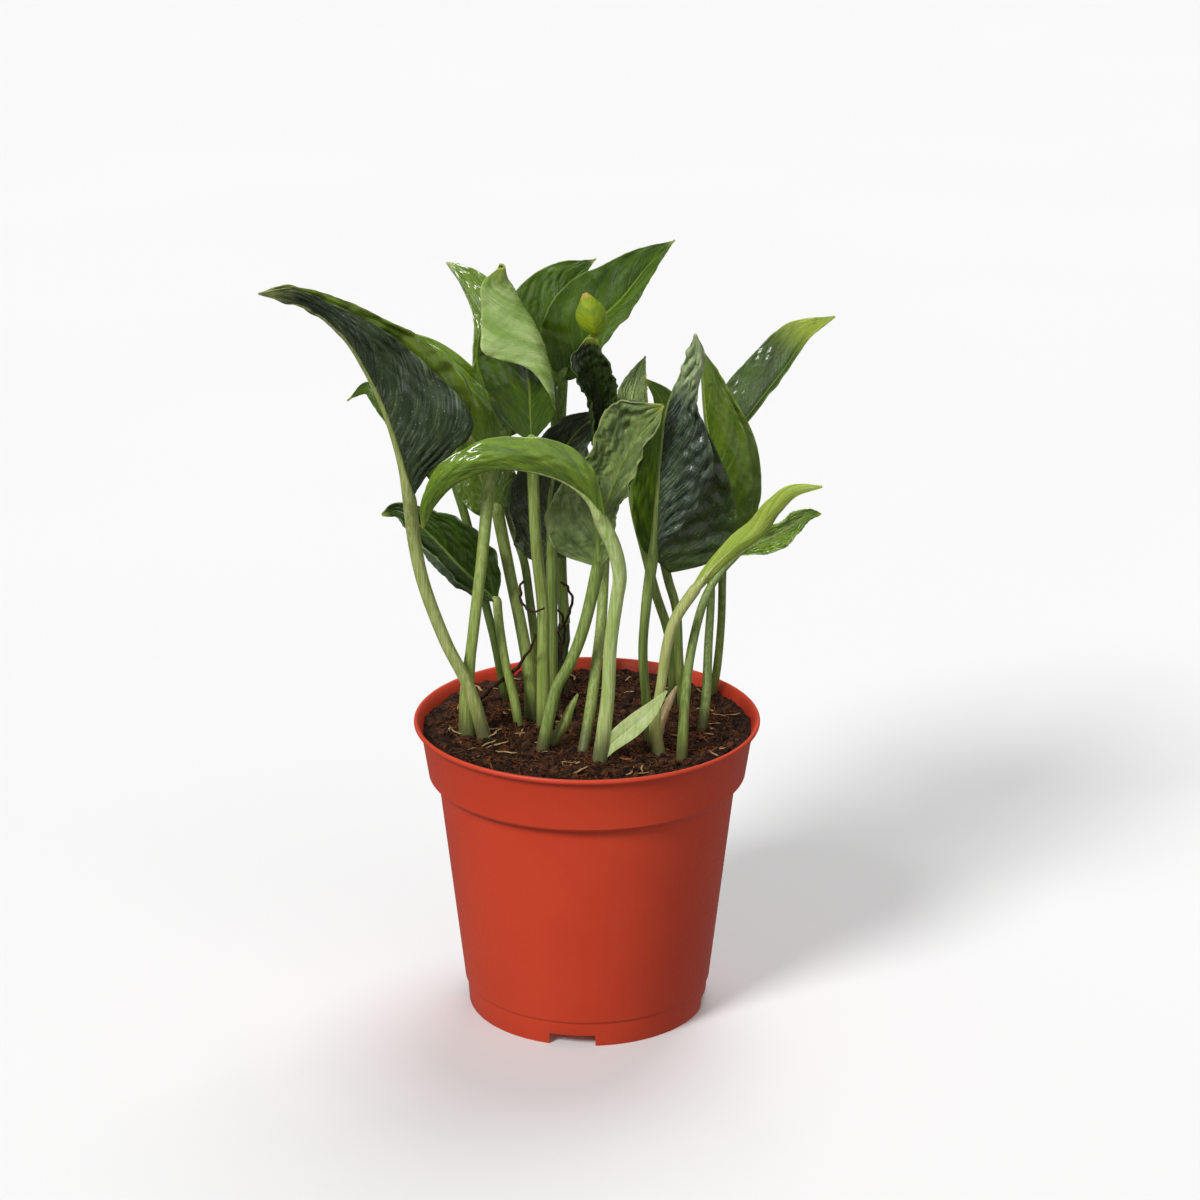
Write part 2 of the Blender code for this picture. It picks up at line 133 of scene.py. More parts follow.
def faceOutward():  # turns every face outward, and leaves edit mode
    bpy.ops.mesh.select_all(action="SELECT")
    bpy.ops.mesh.normals_make_consistent(inside=False)
    bpy.ops.object.mode_set(mode="OBJECT")


def rotation(axis, angle):  # a matrix that turns about x, y or z, which are 0, 1 and 2
    first, second = ((1, 2), (2, 0), (0, 1))[axis]
    matrix = np.eye(3)
    matrix[first, first] = matrix[second, second] = math.cos(angle)
    matrix[second, first] = math.sin(angle)
    matrix[first, second] = -math.sin(angle)
    return matrix


def runAlong(path):  # the distance from a path's start to each of its points
    return np.concatenate([[0.0], np.cumsum(np.linalg.norm(np.diff(path, axis=0), axis=1))])


def readAt(where, stations, line):
    return np.stack([np.interp(where, stations, line[:, axis]) for axis in range(3)], axis=-1)


def smoothPath(points, count):  # a curve through the points, as even steps
    knots = np.array(points, float)
    knots = np.vstack([2 * knots[0] - knots[1], knots, 2 * knots[-1] - knots[-2]])
    fine = [knots[1]]
    perKnot = 20
    for before, start, end, after in zip(knots[:-3], knots[1:-2], knots[2:-1], knots[3:]):
        for t in np.linspace(1 / perKnot, 1.0, perKnot):
            bend = before - 2.5 * start + 2 * end - 0.5 * after
            twist = 1.5 * (start - end) + 0.5 * (after - before)
            fine.append(start + 0.5 * t * (end - before) + t**2 * bend + t**3 * twist)
    fine = np.array(fine)
    run = runAlong(fine)
    return readAt(np.linspace(0.0, run[-1], count + 1), run, fine)


def baseToTip(values, u):  # a value given at base, middle and tip, or one for all three
    base, middle, tip = values if isinstance(values, tuple) else (values,) * 3
    return base * (1 - u) * (1 - 2 * u) + middle * 4 * u * (1 - u) + tip * u * (2 * u - 1)


def ripples(seed, x, y, size, waves=7):  # smooth random hills, about -1 to 1
    chance = np.random.default_rng(seed)
    total = np.zeros_like(x, float)
    for wave in range(waves):
        heading = chance.uniform(0, math.pi)
        pitch = chance.uniform(0.6, 1.7) / size
        run = x * math.cos(heading) + y * math.sin(heading)
        total += np.sin(run * pitch * math.tau + chance.uniform(0, math.tau))
    return total / math.sqrt(waves)


# Materials

def tone(red, green, blue):  # a colour, 0 to 255
    shares = [value / 255 for value in (red, green, blue)]
    return (*[s / 12.92 if s < 0.04 else ((s + 0.055) / 1.055) ** 2.4 for s in shares], 1.0)


def tones(*colours):
    return [tone(*colour) for colour in colours]


class Finish:  # a material being mixed, with short words for its nodes
    def __init__(self, name):
        self.material = bpy.data.materials.new(name)
        self.material.use_nodes = True
        self.nodes = self.material.node_tree.nodes
        self.links = self.material.node_tree.links
        self.shader = self.nodes["Principled BSDF"]
        self.here = self.node("TexCoord").outputs["Object"]

    def feed(self, socket, value):
        if isinstance(value, (int, float, tuple)):
            socket.default_value = value
        else:
            self.links.new(value, socket)

    def node(self, kind, inputs=None, **settings):
        node = self.nodes.new("ShaderNode" + kind)
        for word, value in settings.items():
            setattr(node, word, value)
        for word, value in (inputs or {}).items():
            self.feed(node.inputs[word], value)
        return node

    def uv(self, name):
        return self.node("UVMap", uv_map=name).outputs["UV"]

    def split(self, vector):
        return self.node("SeparateXYZ", {"Vector": vector}).outputs

    def stretched(self, vector, scale):
        return self.node("Mapping", {"Vector": vector, "Scale": scale}).outputs["Vector"]

    def noise(self, vector, scale, detail=4.0, roughness=0.6):
        inputs = {"Vector": vector, "Scale": scale, "Detail": detail, "Roughness": roughness}
        return self.node("TexNoise", inputs).outputs["Fac"]

    def ramp(self, value, low, high, toLow=0.0, toHigh=1.0):
        inputs = {"Value": value, "From Min": low, "From Max": high, "To Min": toLow, "To Max": toHigh}
        return self.node("MapRange", inputs, interpolation_type="SMOOTHSTEP").outputs["Result"]

    def maths(self, operation, first, second):
        return self.node("Math", {0: first, 1: second}, operation=operation).outputs["Value"]

    def blend(self, share, first, second):
        return self.node("Mix", {0: share, 6: first, 7: second}, data_type="RGBA").outputs[2]

    def bump(self, height, distance, strength, under=None):
        inputs = {"Height": height, "Distance": distance, "Strength": strength}
        if under is not None:
            inputs["Normal"] = under
        return self.node("Bump", inputs).outputs["Normal"]

    def done(self, colour, roughness, normal, **constants):
        self.feed(self.shader.inputs["Base Color"], colour)
        self.feed(self.shader.inputs["Roughness"], roughness)
        self.links.new(normal, self.shader.inputs["Normal"])
        for word, number in constants.items():
            self.shader.inputs[word.replace("_", " ")].default_value = number
        return self.material


def mixPlastic():
    mix = Finish("terracottaPlastic")
    cloud = mix.ramp(mix.noise(mix.here, 20.0, 3.0), 0.35, 0.65)
    speck = mix.noise(mix.here, 1100.0, 3.0)
    turned = mix.noise(mix.stretched(mix.here, (0.02, 0.02, 1.0)), 300.0, 2.0)
    colour = mix.blend(cloud, tone(212, 68, 36), tone(206, 63, 33))
    colour = mix.blend(mix.ramp(speck, 0.55, 0.8, 0.0, 0.3), colour, tone(182, 54, 28))
    grain = mix.bump(speck, 0.00006, 0.5, mix.bump(turned, 0.0001, 0.4))
    return mix.done(colour, mix.ramp(speck, 0.3, 0.7, 0.42, 0.54), grain,
                    Specular_IOR_Level=0.4, Subsurface_Weight=0.05, Subsurface_Scale=0.002)


def mixEarth(name, scale, *colours):
    dark, brown, bright = tones(*colours)
    mix = Finish(name)
    broad = mix.noise(mix.here, scale, 6.0, 0.7)
    tiny = mix.noise(mix.here, scale * 6, 4.0, 0.7)
    colour = mix.blend(mix.ramp(broad, 0.38, 0.62), dark, brown)
    colour = mix.blend(mix.ramp(tiny, 0.54, 0.74, 0.0, 0.85), colour, bright)
    crumbly = mix.bump(tiny, 0.0005, 0.7, mix.bump(broad, 0.0015, 0.7))
    return mix.done(colour, 0.93, crumbly, Specular_IOR_Level=0.2)


stalkTones = {
    "whitish": ((196, 210, 144), (156, 180, 92)),
    "fresh": ((162, 178, 100), (126, 148, 58)),
    "grassy": ((142, 160, 84), (104, 126, 50)),
    "olive": ((176, 184, 118), (138, 152, 72)),
    "straw": ((192, 196, 128), (160, 172, 88)),
    "shaded": ((98, 120, 48), (70, 92, 30)),
    "vine": ((96, 112, 70), (54, 68, 40)),
}


def mixStalk(toneName):
    name = toneName + "Stalk"
    if name in bpy.data.materials:
        return bpy.data.materials[name]
    light, deep = tones(*stalkTones[toneName])
    mix = Finish(name)
    fibres = mix.noise(mix.stretched(mix.here, (1.0, 1.0, 0.04)), 1400.0, 3.0)
    blotches = mix.noise(mix.stretched(mix.here, (1.0, 1.0, 0.4)), 70.0, 3.0)
    height = mix.split(mix.here)["Z"]
    colour = mix.blend(mix.ramp(fibres, 0.36, 0.64), light, deep)
    colour = mix.blend(mix.ramp(blotches, 0.5, 0.75, 0.0, 0.5), colour, deep)
    # darker and browner over the last 12 mm above the soil line, its edge broken up by the blotches
    level = mix.maths("ADD", height, mix.ramp(blotches, 0.3, 0.7, -0.004, 0.004))
    soilLineDarkening = mix.ramp(level, (soilTop - 1) * mm, (soilTop + 12) * mm, 0.8, 0.0)
    colour = mix.blend(soilLineDarkening, colour, tone(72, 70, 46))
    return mix.done(colour, mix.ramp(fibres, 0.3, 0.7, 0.36, 0.5), mix.bump(fibres, 0.00025, 0.6),
                    Coat_Weight=0.08, Coat_Roughness=0.3, Subsurface_Weight=0.12, Subsurface_Scale=0.002)


# Flesh, the patches it fades to, the veins, and a grey painted highlight laid in streaks between
# them, for the upper and the under side of each kind of leaf. gloss is how strong that painted
# highlight is, how rough and how coated it is, folds how deep its pleats, crinkles and ruffles are
# in mm, midrib how pale that is, spots how rare, and tip where along the blade the tip's own colour comes
# in.
leafKinds = {
    "silverDark": {
        "upper": ((104, 128, 28), (88, 112, 20), (150, 166, 84), (134, 152, 66)),
        "under": ((56, 72, 38), (36, 50, 28), (104, 120, 78), (150, 162, 138)),
        "slot": "leaf_dark", "gloss": (0.6, 0.28, 0.35), "folds": (0.3, 0.75, 1.3),
        "tip": (0.84, 0.97, (158, 168, 100)),
    },
    "silverPaleTip": {
        "upper": ((56, 78, 18), (36, 54, 12), (104, 126, 56), (92, 112, 60)),
        "under": ((60, 76, 46), (36, 50, 34), (110, 126, 92), (164, 178, 162)),
        "slot": "leaf_dark", "gloss": (0.7, 0.26, 0.4), "folds": (0.3, 0.75, 1.3),
        "tip": (0.66, 0.82, (186, 206, 150)),
    },
    "darkRolled": {
        "upper": ((44, 60, 18), (24, 36, 10), (92, 112, 52), (86, 104, 60)),
        "under": ((48, 66, 22), (28, 42, 14), (92, 112, 52), (100, 120, 76)),
        "slot": "leaf_dark", "gloss": (0.5, 0.3, 0.3), "folds": (0.2, 0.75, 1.0), "midrib": 0.15,
    },
    "greyGreen": {
        "upper": ((62, 88, 26), (42, 62, 20), (120, 142, 72), (100, 122, 66)),
        "under": ((132, 152, 82), (86, 106, 54), (186, 198, 128), (170, 184, 146)),
        "slot": "leaf_dark", "gloss": (0.65, 0.34, 0.2), "folds": (0.3, 0.8, 1.3),
    },
    "deepGreen": {
        "upper": ((50, 76, 2), (74, 104, 6), (120, 148, 40), (92, 120, 24)),
        "under": ((92, 122, 26), (112, 142, 40), (150, 172, 84), (132, 156, 70)),
        "gloss": (0.2, 0.34, 0.1), "folds": (0.16, 0.3, 0.7),
    },
    "foldedSilver": {
        "upper": ((50, 76, 10), (34, 54, 8), (104, 130, 50), (86, 112, 34)),
        "under": ((84, 102, 66), (60, 78, 48), (140, 154, 110), (150, 164, 140)),
        "gloss": (0.5, 0.32, 0.2), "folds": (0.2, 0.5, 0.9),
    },
    "darkGloss": {
        "upper": ((44, 66, 12), (64, 92, 20), (120, 146, 60), (96, 122, 56)),
        "under": ((112, 140, 44), (92, 122, 30), (160, 180, 96), (140, 164, 80)),
        "gloss": (0.4, 0.24, 0.5), "folds": (0.14, 0.35, 0.8), "tip": (0.66, 0.9, (172, 192, 62)),
    },
    "olive": {
        "upper": ((92, 116, 26), (66, 92, 14), (138, 156, 64), (124, 146, 58)),
        "under": ((112, 138, 46), (88, 116, 30), (160, 178, 96), (140, 162, 80)),
        "gloss": (0.35, 0.3, 0.25), "folds": (0.16, 0.35, 0.7), "spots": 0.66,
    },
    "brightGreen": {
        "upper": ((116, 150, 18), (88, 122, 10), (150, 174, 58), (136, 162, 44)),
        "under": ((116, 148, 22), (84, 116, 14), (160, 182, 84), (140, 164, 60)),
        "gloss": (0.35, 0.18, 1.0), "folds": (0.14, 0.3, 0.5),
    },
    "paleYoung": {
        "upper": ((52, 78, 2), (70, 100, 6), (140, 164, 60), (88, 118, 26)),
        "under": ((168, 194, 112), (124, 160, 54), (206, 222, 160), (204, 220, 164)),
        "slot": "leaf_pale", "gloss": (0.7, 0.22, 0.8), "folds": (0.18, 0.3, 0.5),
    },
    "freshPale": {
        "upper": ((130, 156, 44), (104, 134, 26), (176, 190, 92), (164, 182, 84)),
        "under": ((178, 198, 84), (138, 166, 46), (206, 216, 144), (202, 214, 130)),
        "slot": "leaf_pale", "gloss": (0.4, 0.3, 0.25), "folds": (0.08, 0.12, 0.3), "midrib": 0.3,
    },
    "yellowBud": {
        "upper": ((120, 140, 20), (70, 96, 8), (160, 176, 40), (170, 184, 60)),
        "under": ((156, 176, 10), (116, 148, 6), (206, 208, 60), (204, 208, 70)),
        "slot": "leaf_pale", "gloss": (0.5, 0.32, 0.3), "folds": (0.03, 0.0, 0.05),
        "midrib": 0.1, "tip": (0.86, 1.0, (226, 170, 96)),
    },
    "papery": {"folds": (0.04, 0.1, 0.25)},
}


def mixLeaf(kindName, side):
    name = kindName + side.capitalize()
    if name in bpy.data.materials:
        return bpy.data.materials[name]
    kind = leafKinds[kindName]
    flesh, patch, veinTone, paintedHighlightTone = tones(*kind[side])
    # silver is how strong the painted highlight streaks are, then roughness and coat
    silver, rough, coat = kind["gloss"]
    mix = Finish(name)
    veinMap = mix.uv("veins")
    _, count, _ = mix.split(veinMap).values()
    toTip, toMargin, _ = mix.split(mix.uv("place")).values()
    wander = mix.ramp(mix.noise(mix.here, 130.0, 3.0), 0.2, 0.8, -0.16, 0.16)
    wavyCount = mix.maths("ADD", count, wander)
    line = mix.ramp(mix.maths("PINGPONG", wavyCount, 0.5), 0.0, 0.1, 1.0, 0.0)
    faint = mix.ramp(mix.noise(mix.here, 90.0, 2.0), 0.4, 0.65)
    fade = mix.ramp(toMargin, 0.4, 0.95, 1.0, 0.0)
    veins = mix.maths("MULTIPLY", mix.maths("MULTIPLY", line, faint), fade)
    midrib = mix.ramp(toMargin, 0.01, 0.045, 1.0, 0.0)
    patches = mix.ramp(mix.noise(mix.stretched(veinMap, (0.7, 0.5, 1.0)), 1.4, 3.0), 0.36, 0.66)
    streaks = mix.noise(mix.stretched(veinMap, (1.1, 3.4, 1.0)), 2.4, 5.0, 0.7)
    fine = mix.noise(mix.here, 700.0, 3.0)
    glints = mix.noise(mix.here, 1500.0, 2.0)

    colour = mix.blend(patches, flesh, patch)
    blotches = mix.ramp(mix.noise(mix.here, 75.0, 3.0), 0.42, 0.62, 0.3, 1.0)
    # painted highlight: pale grey streaks along the veins, broken into blotches, blended into the colour
    paintedHighlightMask = mix.maths("MULTIPLY", mix.ramp(streaks, 0.44, 0.72, 0.0, silver), blotches)
    colour = mix.blend(paintedHighlightMask, colour, paintedHighlightTone)
    colour = mix.blend(mix.maths("MULTIPLY", veins, 0.45), colour, veinTone)
    colour = mix.blend(mix.maths("MULTIPLY", midrib, kind.get("midrib", 0.85)), colour, veinTone)
    colour = mix.blend(mix.ramp(toMargin, 0.97, 0.99, 0.0, 0.4), colour, veinTone)
    tipStart, tipEnd, tipColour = kind.get("tip", (0.93, 1.0, (168, 180, 70)))
    colour = mix.blend(mix.ramp(toTip, tipStart, tipEnd, 0.0, 0.85), colour, tone(*tipColour))
    colour = mix.blend(mix.ramp(fine, 0.35, 0.7, 0.0, 0.3), colour, patch)
    if "spots" in kind:
        spots = mix.ramp(mix.noise(mix.here, 62.0, 1.0), kind["spots"], kind["spots"] + 0.02, 0.0, 0.85)
        colour = mix.blend(spots, colour, tone(58, 38, 26))
    # painted glints: sparse bright specks of highlight painted along the streaks of the silver kinds
    if kindName.startswith("silver"):
        where = mix.ramp(streaks, 0.42, 0.6, 0.1, 0.8)
        paintedGlintMask = mix.maths("MULTIPLY", mix.ramp(glints, 0.66, 0.72), where)
        colour = mix.blend(paintedGlintMask, colour, tone(176, 190, 178))
    dimple = mix.bump(fine, 0.0002, 0.6, mix.bump(streaks, 0.0006, 0.5))
    skin = mix.bump(veins, 0.0003, 0.6 if side == "under" else -0.6, dimple)
    dullness = mix.ramp(streaks, 0.3, 0.8, rough - 0.05, rough + 0.16)
    return mix.done(colour, dullness, skin, Coat_Weight=coat, Coat_Roughness=0.14,
                    Specular_IOR_Level=0.28, Subsurface_Weight=0.04, Subsurface_Scale=0.002)


print("materials mixed")


# Pot: rings of radius and height, from the underside round the outside, over the lip and
# down to the floor inside

potShape = {
    "rings": [
        (40.4, 4), (40.4, 0), (42, 0), (42.6, 8.6), (43.3, 9.5), (51.4, 81), (51.7, 83.4), (52.2, 84.3),
        (54.5, 85.5), (55.1, 86.3), (57.4, 101.5), (58, 103.2), (58.6, 103.9), (59.7, 104.3),
        (60, 104.9), (59.9, 105.6), (59.5, 106), (59.1, 106), (58.6, 105.6), (57.8, 104.2),
        (56.8, 101.5), (53.2, 86.8), (50.2, 82.8), (49.8, 81), (41.3, 5.5),
    ],
    "steps": 128, "softEdge": 0.35,
    "notchAngles": (-97, -7, 83, 173), "notchCircle": 41.2, "notchSize": (8.0, 16.0, 8.0),
    "drains": 6, "drainCircle": 26.0, "drainRadius": 4.0, "drainMiddle": 4.75, "drainDepth": 4.0,
}


def cutAway(piece, cutter):
    cut = piece.modifiers.new("Cut", "BOOLEAN")
    cut.operation = "DIFFERENCE"
    cut.object = cutter
    choose(piece)
    bpy.ops.object.modifier_apply(modifier=cut.name)
    bpy.data.objects.remove(cutter)


def onCircle(radius, angle, height):
    return world((radius * math.cos(angle), radius * math.sin(angle), height))


def turnPot():
    shape = potShape
    radius, height = shape["rings"][0]
    dropSelection()
    bpy.ops.mesh.primitive_circle_add(vertices=shape["steps"], radius=radius * mm, fill_type="NGON",
                                      location=world((0, 0, height)))
    pot = bpy.context.object
    editAll(pot)
    extrudeRings(radius, height, shape["rings"][1:])
    faceOutward()

    for degrees in shape["notchAngles"]:
        angle = math.radians(degrees)
        dropSelection()
        bpy.ops.mesh.primitive_cube_add(size=mm, location=onCircle(shape["notchCircle"], angle, 0),
                                        rotation=(0, 0, angle), scale=shape["notchSize"])
        cutAway(pot, bpy.context.object)
    for number in range(shape["drains"]):
        place = onCircle(shape["drainCircle"], math.tau * number / shape["drains"], shape["drainMiddle"])
        dropSelection()
        bpy.ops.mesh.primitive_cylinder_add(vertices=32, radius=shape["drainRadius"] * mm,
                                            depth=shape["drainDepth"] * mm, location=place)
        cutAway(pot, bpy.context.object)
    edges = pot.modifiers.new("Soft edges", "BEVEL")
    edges.width = shape["softEdge"] * mm
    edges.segments = 2
    edges.limit_method = "ANGLE"
    edges.angle_limit = math.radians(30)
    settle(pot, 22)
    finishPiece(pot, "terracottaPot", [mixPlastic()], "pot_plastic", "pot")


turnPot()
print("pot turned")


# Soil: a dome with hollows, then crumbs, coir fibres and straw scattered over it

soilShape = {
    "top": [(0.0, 103.2), (18.0, 103.2), (34.0, 103.0), (48.0, 102.5), (56.8, 102.2)],
    "side": [(52.9, 87.2), (49.8, 83.1), (49.5, 81.0), (41.0, 5.8)],
    "hills": ((3, 16.0, 0.55), (4, 6.0, 0.45), (5, 2.4, 0.3)),  # seed, size and height
    "rough": 0.88, "grid": 150, "seed": 11,
}
crumbShape = {"count": 2600, "size": (0.35, 2.0), "rarity": 3.2, "forms": 6, "knock": 0.28,
              "squash": (1.0, 0.8, 0.65)}
fibreShape = {"count": 1800, "length": (2.5, 13.0), "rarity": 2, "thick": (0.16, 0.34), "bend": 0.16,
              "flat": 1.0, "lean": 0.22, "hug": 0.55}  # hug is how closely it follows the ground
strawShape = {"count": 120, "length": (3.0, 9.0), "rarity": 1, "thick": (0.5, 1.1), "bend": 0.04,
              "flat": 0.35, "lean": 0.16, "hug": 0.2}


def soilHeight(x, y):
    radii, heights = zip(*soilShape["top"])
    bumps = sum(height * ripples(seed, x, y, size) for seed, size, height in soilShape["hills"])
    return np.interp(np.hypot(x, y), radii, heights) + soilShape["rough"] * bumps


def soilPoint(x, y):
    return np.array([x, y, float(soilHeight(np.array(x), np.array(y)))])


def heapSoil():
    dropSelection()
    count = soilShape["grid"]
    bpy.ops.mesh.primitive_grid_add(x_subdivisions=count, y_subdivisions=count, size=2.0)
    soil = bpy.context.object
    rim, rimHeight = soilShape["top"][-1]
    for vertex in soil.data.vertices:
        x, y = vertex.co.x, vertex.co.y
        reach = max(abs(x), abs(y))
        if reach > 0:  # the square grid pulled in to a disc
            x, y = x * reach / math.hypot(x, y), y * reach / math.hypot(x, y)
        vertex.co = world(soilPoint(x * rim, y * rim))
    editAll(soil)
    bpy.ops.mesh.region_to_loop()
    extrudeRings(rim, rimHeight, soilShape["side"])
    floor = world((0, 0, soilShape["side"][-1][1]))
    bpy.ops.transform.resize(value=(1.0, 1.0, 0.0), center_override=floor)
    bpy.ops.mesh.edge_face_add()
    faceOutward()
    settle(soil)
    earth = mixEarth("pottingSoil", 420.0, (22, 14, 10), (60, 38, 25), (118, 76, 48))
    finishPiece(soil, "soilBed", [earth], "potting_soil", "soil")


def soilSpot(chance, margin):
    reach = (soilShape["top"][-1][0] - margin) * math.sqrt(chance.uniform(0, 1))
    angle = chance.uniform(0, math.tau)
    return soilPoint(reach * math.cos(angle), reach * math.sin(angle))


def anySize(chance, sizes, rarity):  # the higher the rarity, the fewer of the large ones
    low, high = sizes
    return low + (high - low) * chance.uniform(0, 1) ** rarity


def crumbForms():  # a few knocked and squashed balls, as corners and faces
    forms = []
    for number in range(crumbShape["forms"]):
        dropSelection()
        bpy.ops.mesh.primitive_ico_sphere_add(subdivisions=2 if number < 2 else 1, radius=1.0)
        ball = bpy.context.object
        corners = np.array([vertex.co[:] for vertex in ball.data.vertices])
        sides = [list(polygon.vertices) for polygon in ball.data.polygons]
        bpy.data.objects.remove(ball)
        hills = ripples(20 + number, corners[:, 0] + corners[:, 2], corners[:, 1], 1.6)
        knocks = 1 + crumbShape["knock"] * hills
        forms.append((corners * knocks[:, None] * crumbShape["squash"], sides))
    return forms


def strewCrumbs():
    chance = np.random.default_rng(soilShape["seed"])
    forms = crumbForms()
    points, faces, kinds = [], [], []
    for number in range(crumbShape["count"]):
        size = anySize(chance, crumbShape["size"], crumbShape["rarity"])
        place = soilSpot(chance, 1.0 + size) + (0, 0, size * chance.uniform(-0.2, 0.45))
        kind = int(chance.integers(0, 12))
        corners, sides = forms[kind % len(forms)]
        a, b, c = chance.uniform(0, math.tau, 3)
        turn = rotation(2, a) @ rotation(0, b) @ rotation(1, c) * size
        start = len(points)
        points.extend(world(corners @ turn.T + place))
        faces.extend([[start + index for index in side] for side in sides])
        kinds.extend([kind % 3] * len(sides))
    earths = [
        mixEarth("darkCrumb", 600.0, (24, 16, 11), (48, 31, 21), (92, 62, 42)),
        mixEarth("redCrumb", 600.0, (60, 36, 23), (100, 62, 38), (148, 98, 62)),
        mixEarth("brownCrumb", 600.0, (52, 32, 21), (90, 56, 35), (140, 92, 58)),
    ]
    pieceFrom("soilCrumbs", points, faces, kinds, earths, "potting_soil")


def spinStrand(chance, shape, length, thick, segments=6, sides=4):  # a swaying rod of four sides
    along = np.linspace(-0.5, 0.5, segments + 1)
    sway = shape["bend"] * ripples(int(chance.integers(1, 9999)), along, along * 0, 0.9, 3)
    lift = shape["bend"] * 0.5 * ripples(int(chance.integers(1, 9999)), along, along * 0, 0.8, 3)
    corners, faces = [], []
    for step, centre in enumerate(np.stack([along, sway, lift], axis=1) * length):
        radius = thick * (0.5 if 0 < step < segments else 0.2)
        for corner in range(sides):
            angle = math.tau * corner / sides
            corners.append(centre + (0, radius * math.cos(angle), radius * shape["flat"] * math.sin(angle)))
    for step in range(segments):
        for corner in range(sides):
            beside = (corner + 1) % sides
            faces.append([step * sides + corner, step * sides + beside,
                          (step + 1) * sides + beside, (step + 1) * sides + corner])
    faces.append(list(range(sides))[::-1])
    faces.append([segments * sides + corner for corner in range(sides)])
    return np.array(corners), faces


def strewFibres():
    chance = np.random.default_rng(soilShape["seed"] + 1)
    points, faces, kinds = [], [], []
    for number in range(fibreShape["count"] + strawShape["count"]):
        isStraw = number >= fibreShape["count"]
        shape = strawShape if isStraw else fibreShape
        length = anySize(chance, shape["length"], shape["rarity"])
        thick = chance.uniform(*shape["thick"])
        corners, sides = spinStrand(chance, shape, length, thick)
        lean = chance.normal(0, shape["lean"])
        turn = chance.uniform(0, math.tau)
        place = soilSpot(chance, 2.0 + length / 2)
        corners = corners @ (rotation(2, turn) @ rotation(1, -lean)).T
        ground = soilHeight(place[0] + corners[:, 0], place[1] + corners[:, 1]) - place[2]
        corners[:, 2] += shape["hug"] * (ground - corners[:, 2]) + 0.25 * thick
        start = len(points)
        points.extend(world(corners + place + (0, 0, 0.5)))
        faces.extend([[start + index for index in side] for side in sides])
        kinds.extend([2 if isStraw and number % 3 else int(chance.integers(0, 2))] * len(sides))
    fibres = [
        mixEarth("rustFibre", 500.0, (112, 62, 34), (152, 92, 50), (190, 128, 76)),
        mixEarth("darkFibre", 500.0, (60, 36, 22), (96, 58, 36), (130, 84, 52)),
        mixEarth("paleStraw", 400.0, (176, 140, 88), (206, 176, 120), (226, 204, 156)),
    ]
    piece = pieceFrom("coirFibres", points, faces, kinds, fibres, "potting_soil")
    editAll(piece)
    faceOutward()
    bpy.ops.object.shade_smooth()


heapSoil()
strewCrumbs()
strewFibres()
print("soil heaped")


# Leaves. The midrib runs from the blade's base to its tip. A pair is for the left and right
# half. Each half leaves the midrib at an angle about it, where 0 is to the right, 90 to the
# front and 180 to the left, given at base, middle and tip; a curl is how much further it has
# turned by the margin. A bend puts that turn between two distances from the midrib. reach is
# each half's width at even steps from base to tip, or else width is its most and taper how
# early it narrows. lobe is how far the lower corners hang back. seen is the side in front,
# under unless it says so.

rowsAlong = 110
rowsAcross = 48
fineSteps = 200
bladeThickness = 0.5
narrowest = 0.3
veinCount = 10
veinLean = 0.36
grooveDepth = 0.45
grooveWidth = 1.1
crumpleFrom = 0.68


def halfWidth(leaf, side, u):
    if "reach" in leaf:
        widths = leaf["reach"][side]
        knots = [(share, width, 0) for share, width in zip(np.linspace(0, 1, len(widths)), widths)]
        line = smoothPath(knots, fineSteps)
        return np.maximum(np.interp(u, line[:, 0], line[:, 1]), narrowest)
    taper = leaf.get("taper", (1.15, 1.15))[side]
    widest = 0.5 / (0.5 + taper)
    shape = (1 - u) ** taper * u**0.5 / ((1 - widest) ** taper * widest**0.5)
    return np.maximum(leaf["width"][side] * shape, narrowest)


def midribFrames(leaf, u):
    line = smoothPath(leaf["midrib"], fineSteps)
    forward = np.gradient(line, axis=0)
    forward /= np.linalg.norm(forward, axis=1)[:, None]
    stations = np.linspace(0, 1, fineSteps + 1)
    centre = readAt(u, stations, line)
    ahead = readAt(u, stations, forward)
    right = np.cross(ahead, frontWay)
    right /= np.linalg.norm(right, axis=-1, keepdims=True)
    return centre, ahead, right, np.cross(right, ahead)


def halfPoints(leaf, side, u, reach):  # one half of a blade, a row for each u, from midrib to margin
    centre, ahead, right, front = midribFrames(leaf, u)
    width = halfWidth(leaf, side, u)
    away = width[:, None] * reach
    angle = np.radians(baseToTip(leaf["angle"][side], u))[:, None]
    curl = np.radians(baseToTip(leaf.get("curl", (0, 0))[side], u))[:, None]
    bend = leaf.get("bend", (None, None))[side]
    if bend:
        start, over = (baseToTip(values, u)[:, None] for values in bend)
        heading = angle + curl * np.clip((away - start) / over, 0, 1)
    else:
        heading = angle + curl * reach
    step = np.diff(away, axis=1)
    middle = (heading[:, 1:] + heading[:, :-1]) / 2
    out, up = (np.pad(np.cumsum(step * way(middle), axis=1), ((0, 0), (1, 0)))[..., None]
               for way in (np.cos, np.sin))
    lobe = leaf.get("lobe", 0) * reach**1.5 * np.maximum(1 - 2 * u, 0)[:, None] ** 1.2
    lobe *= np.sqrt(width / width.max())[:, None]
    return centre[:, None] + out * right[:, None] + up * front[:, None] - lobe[..., None] * ahead[:, None]


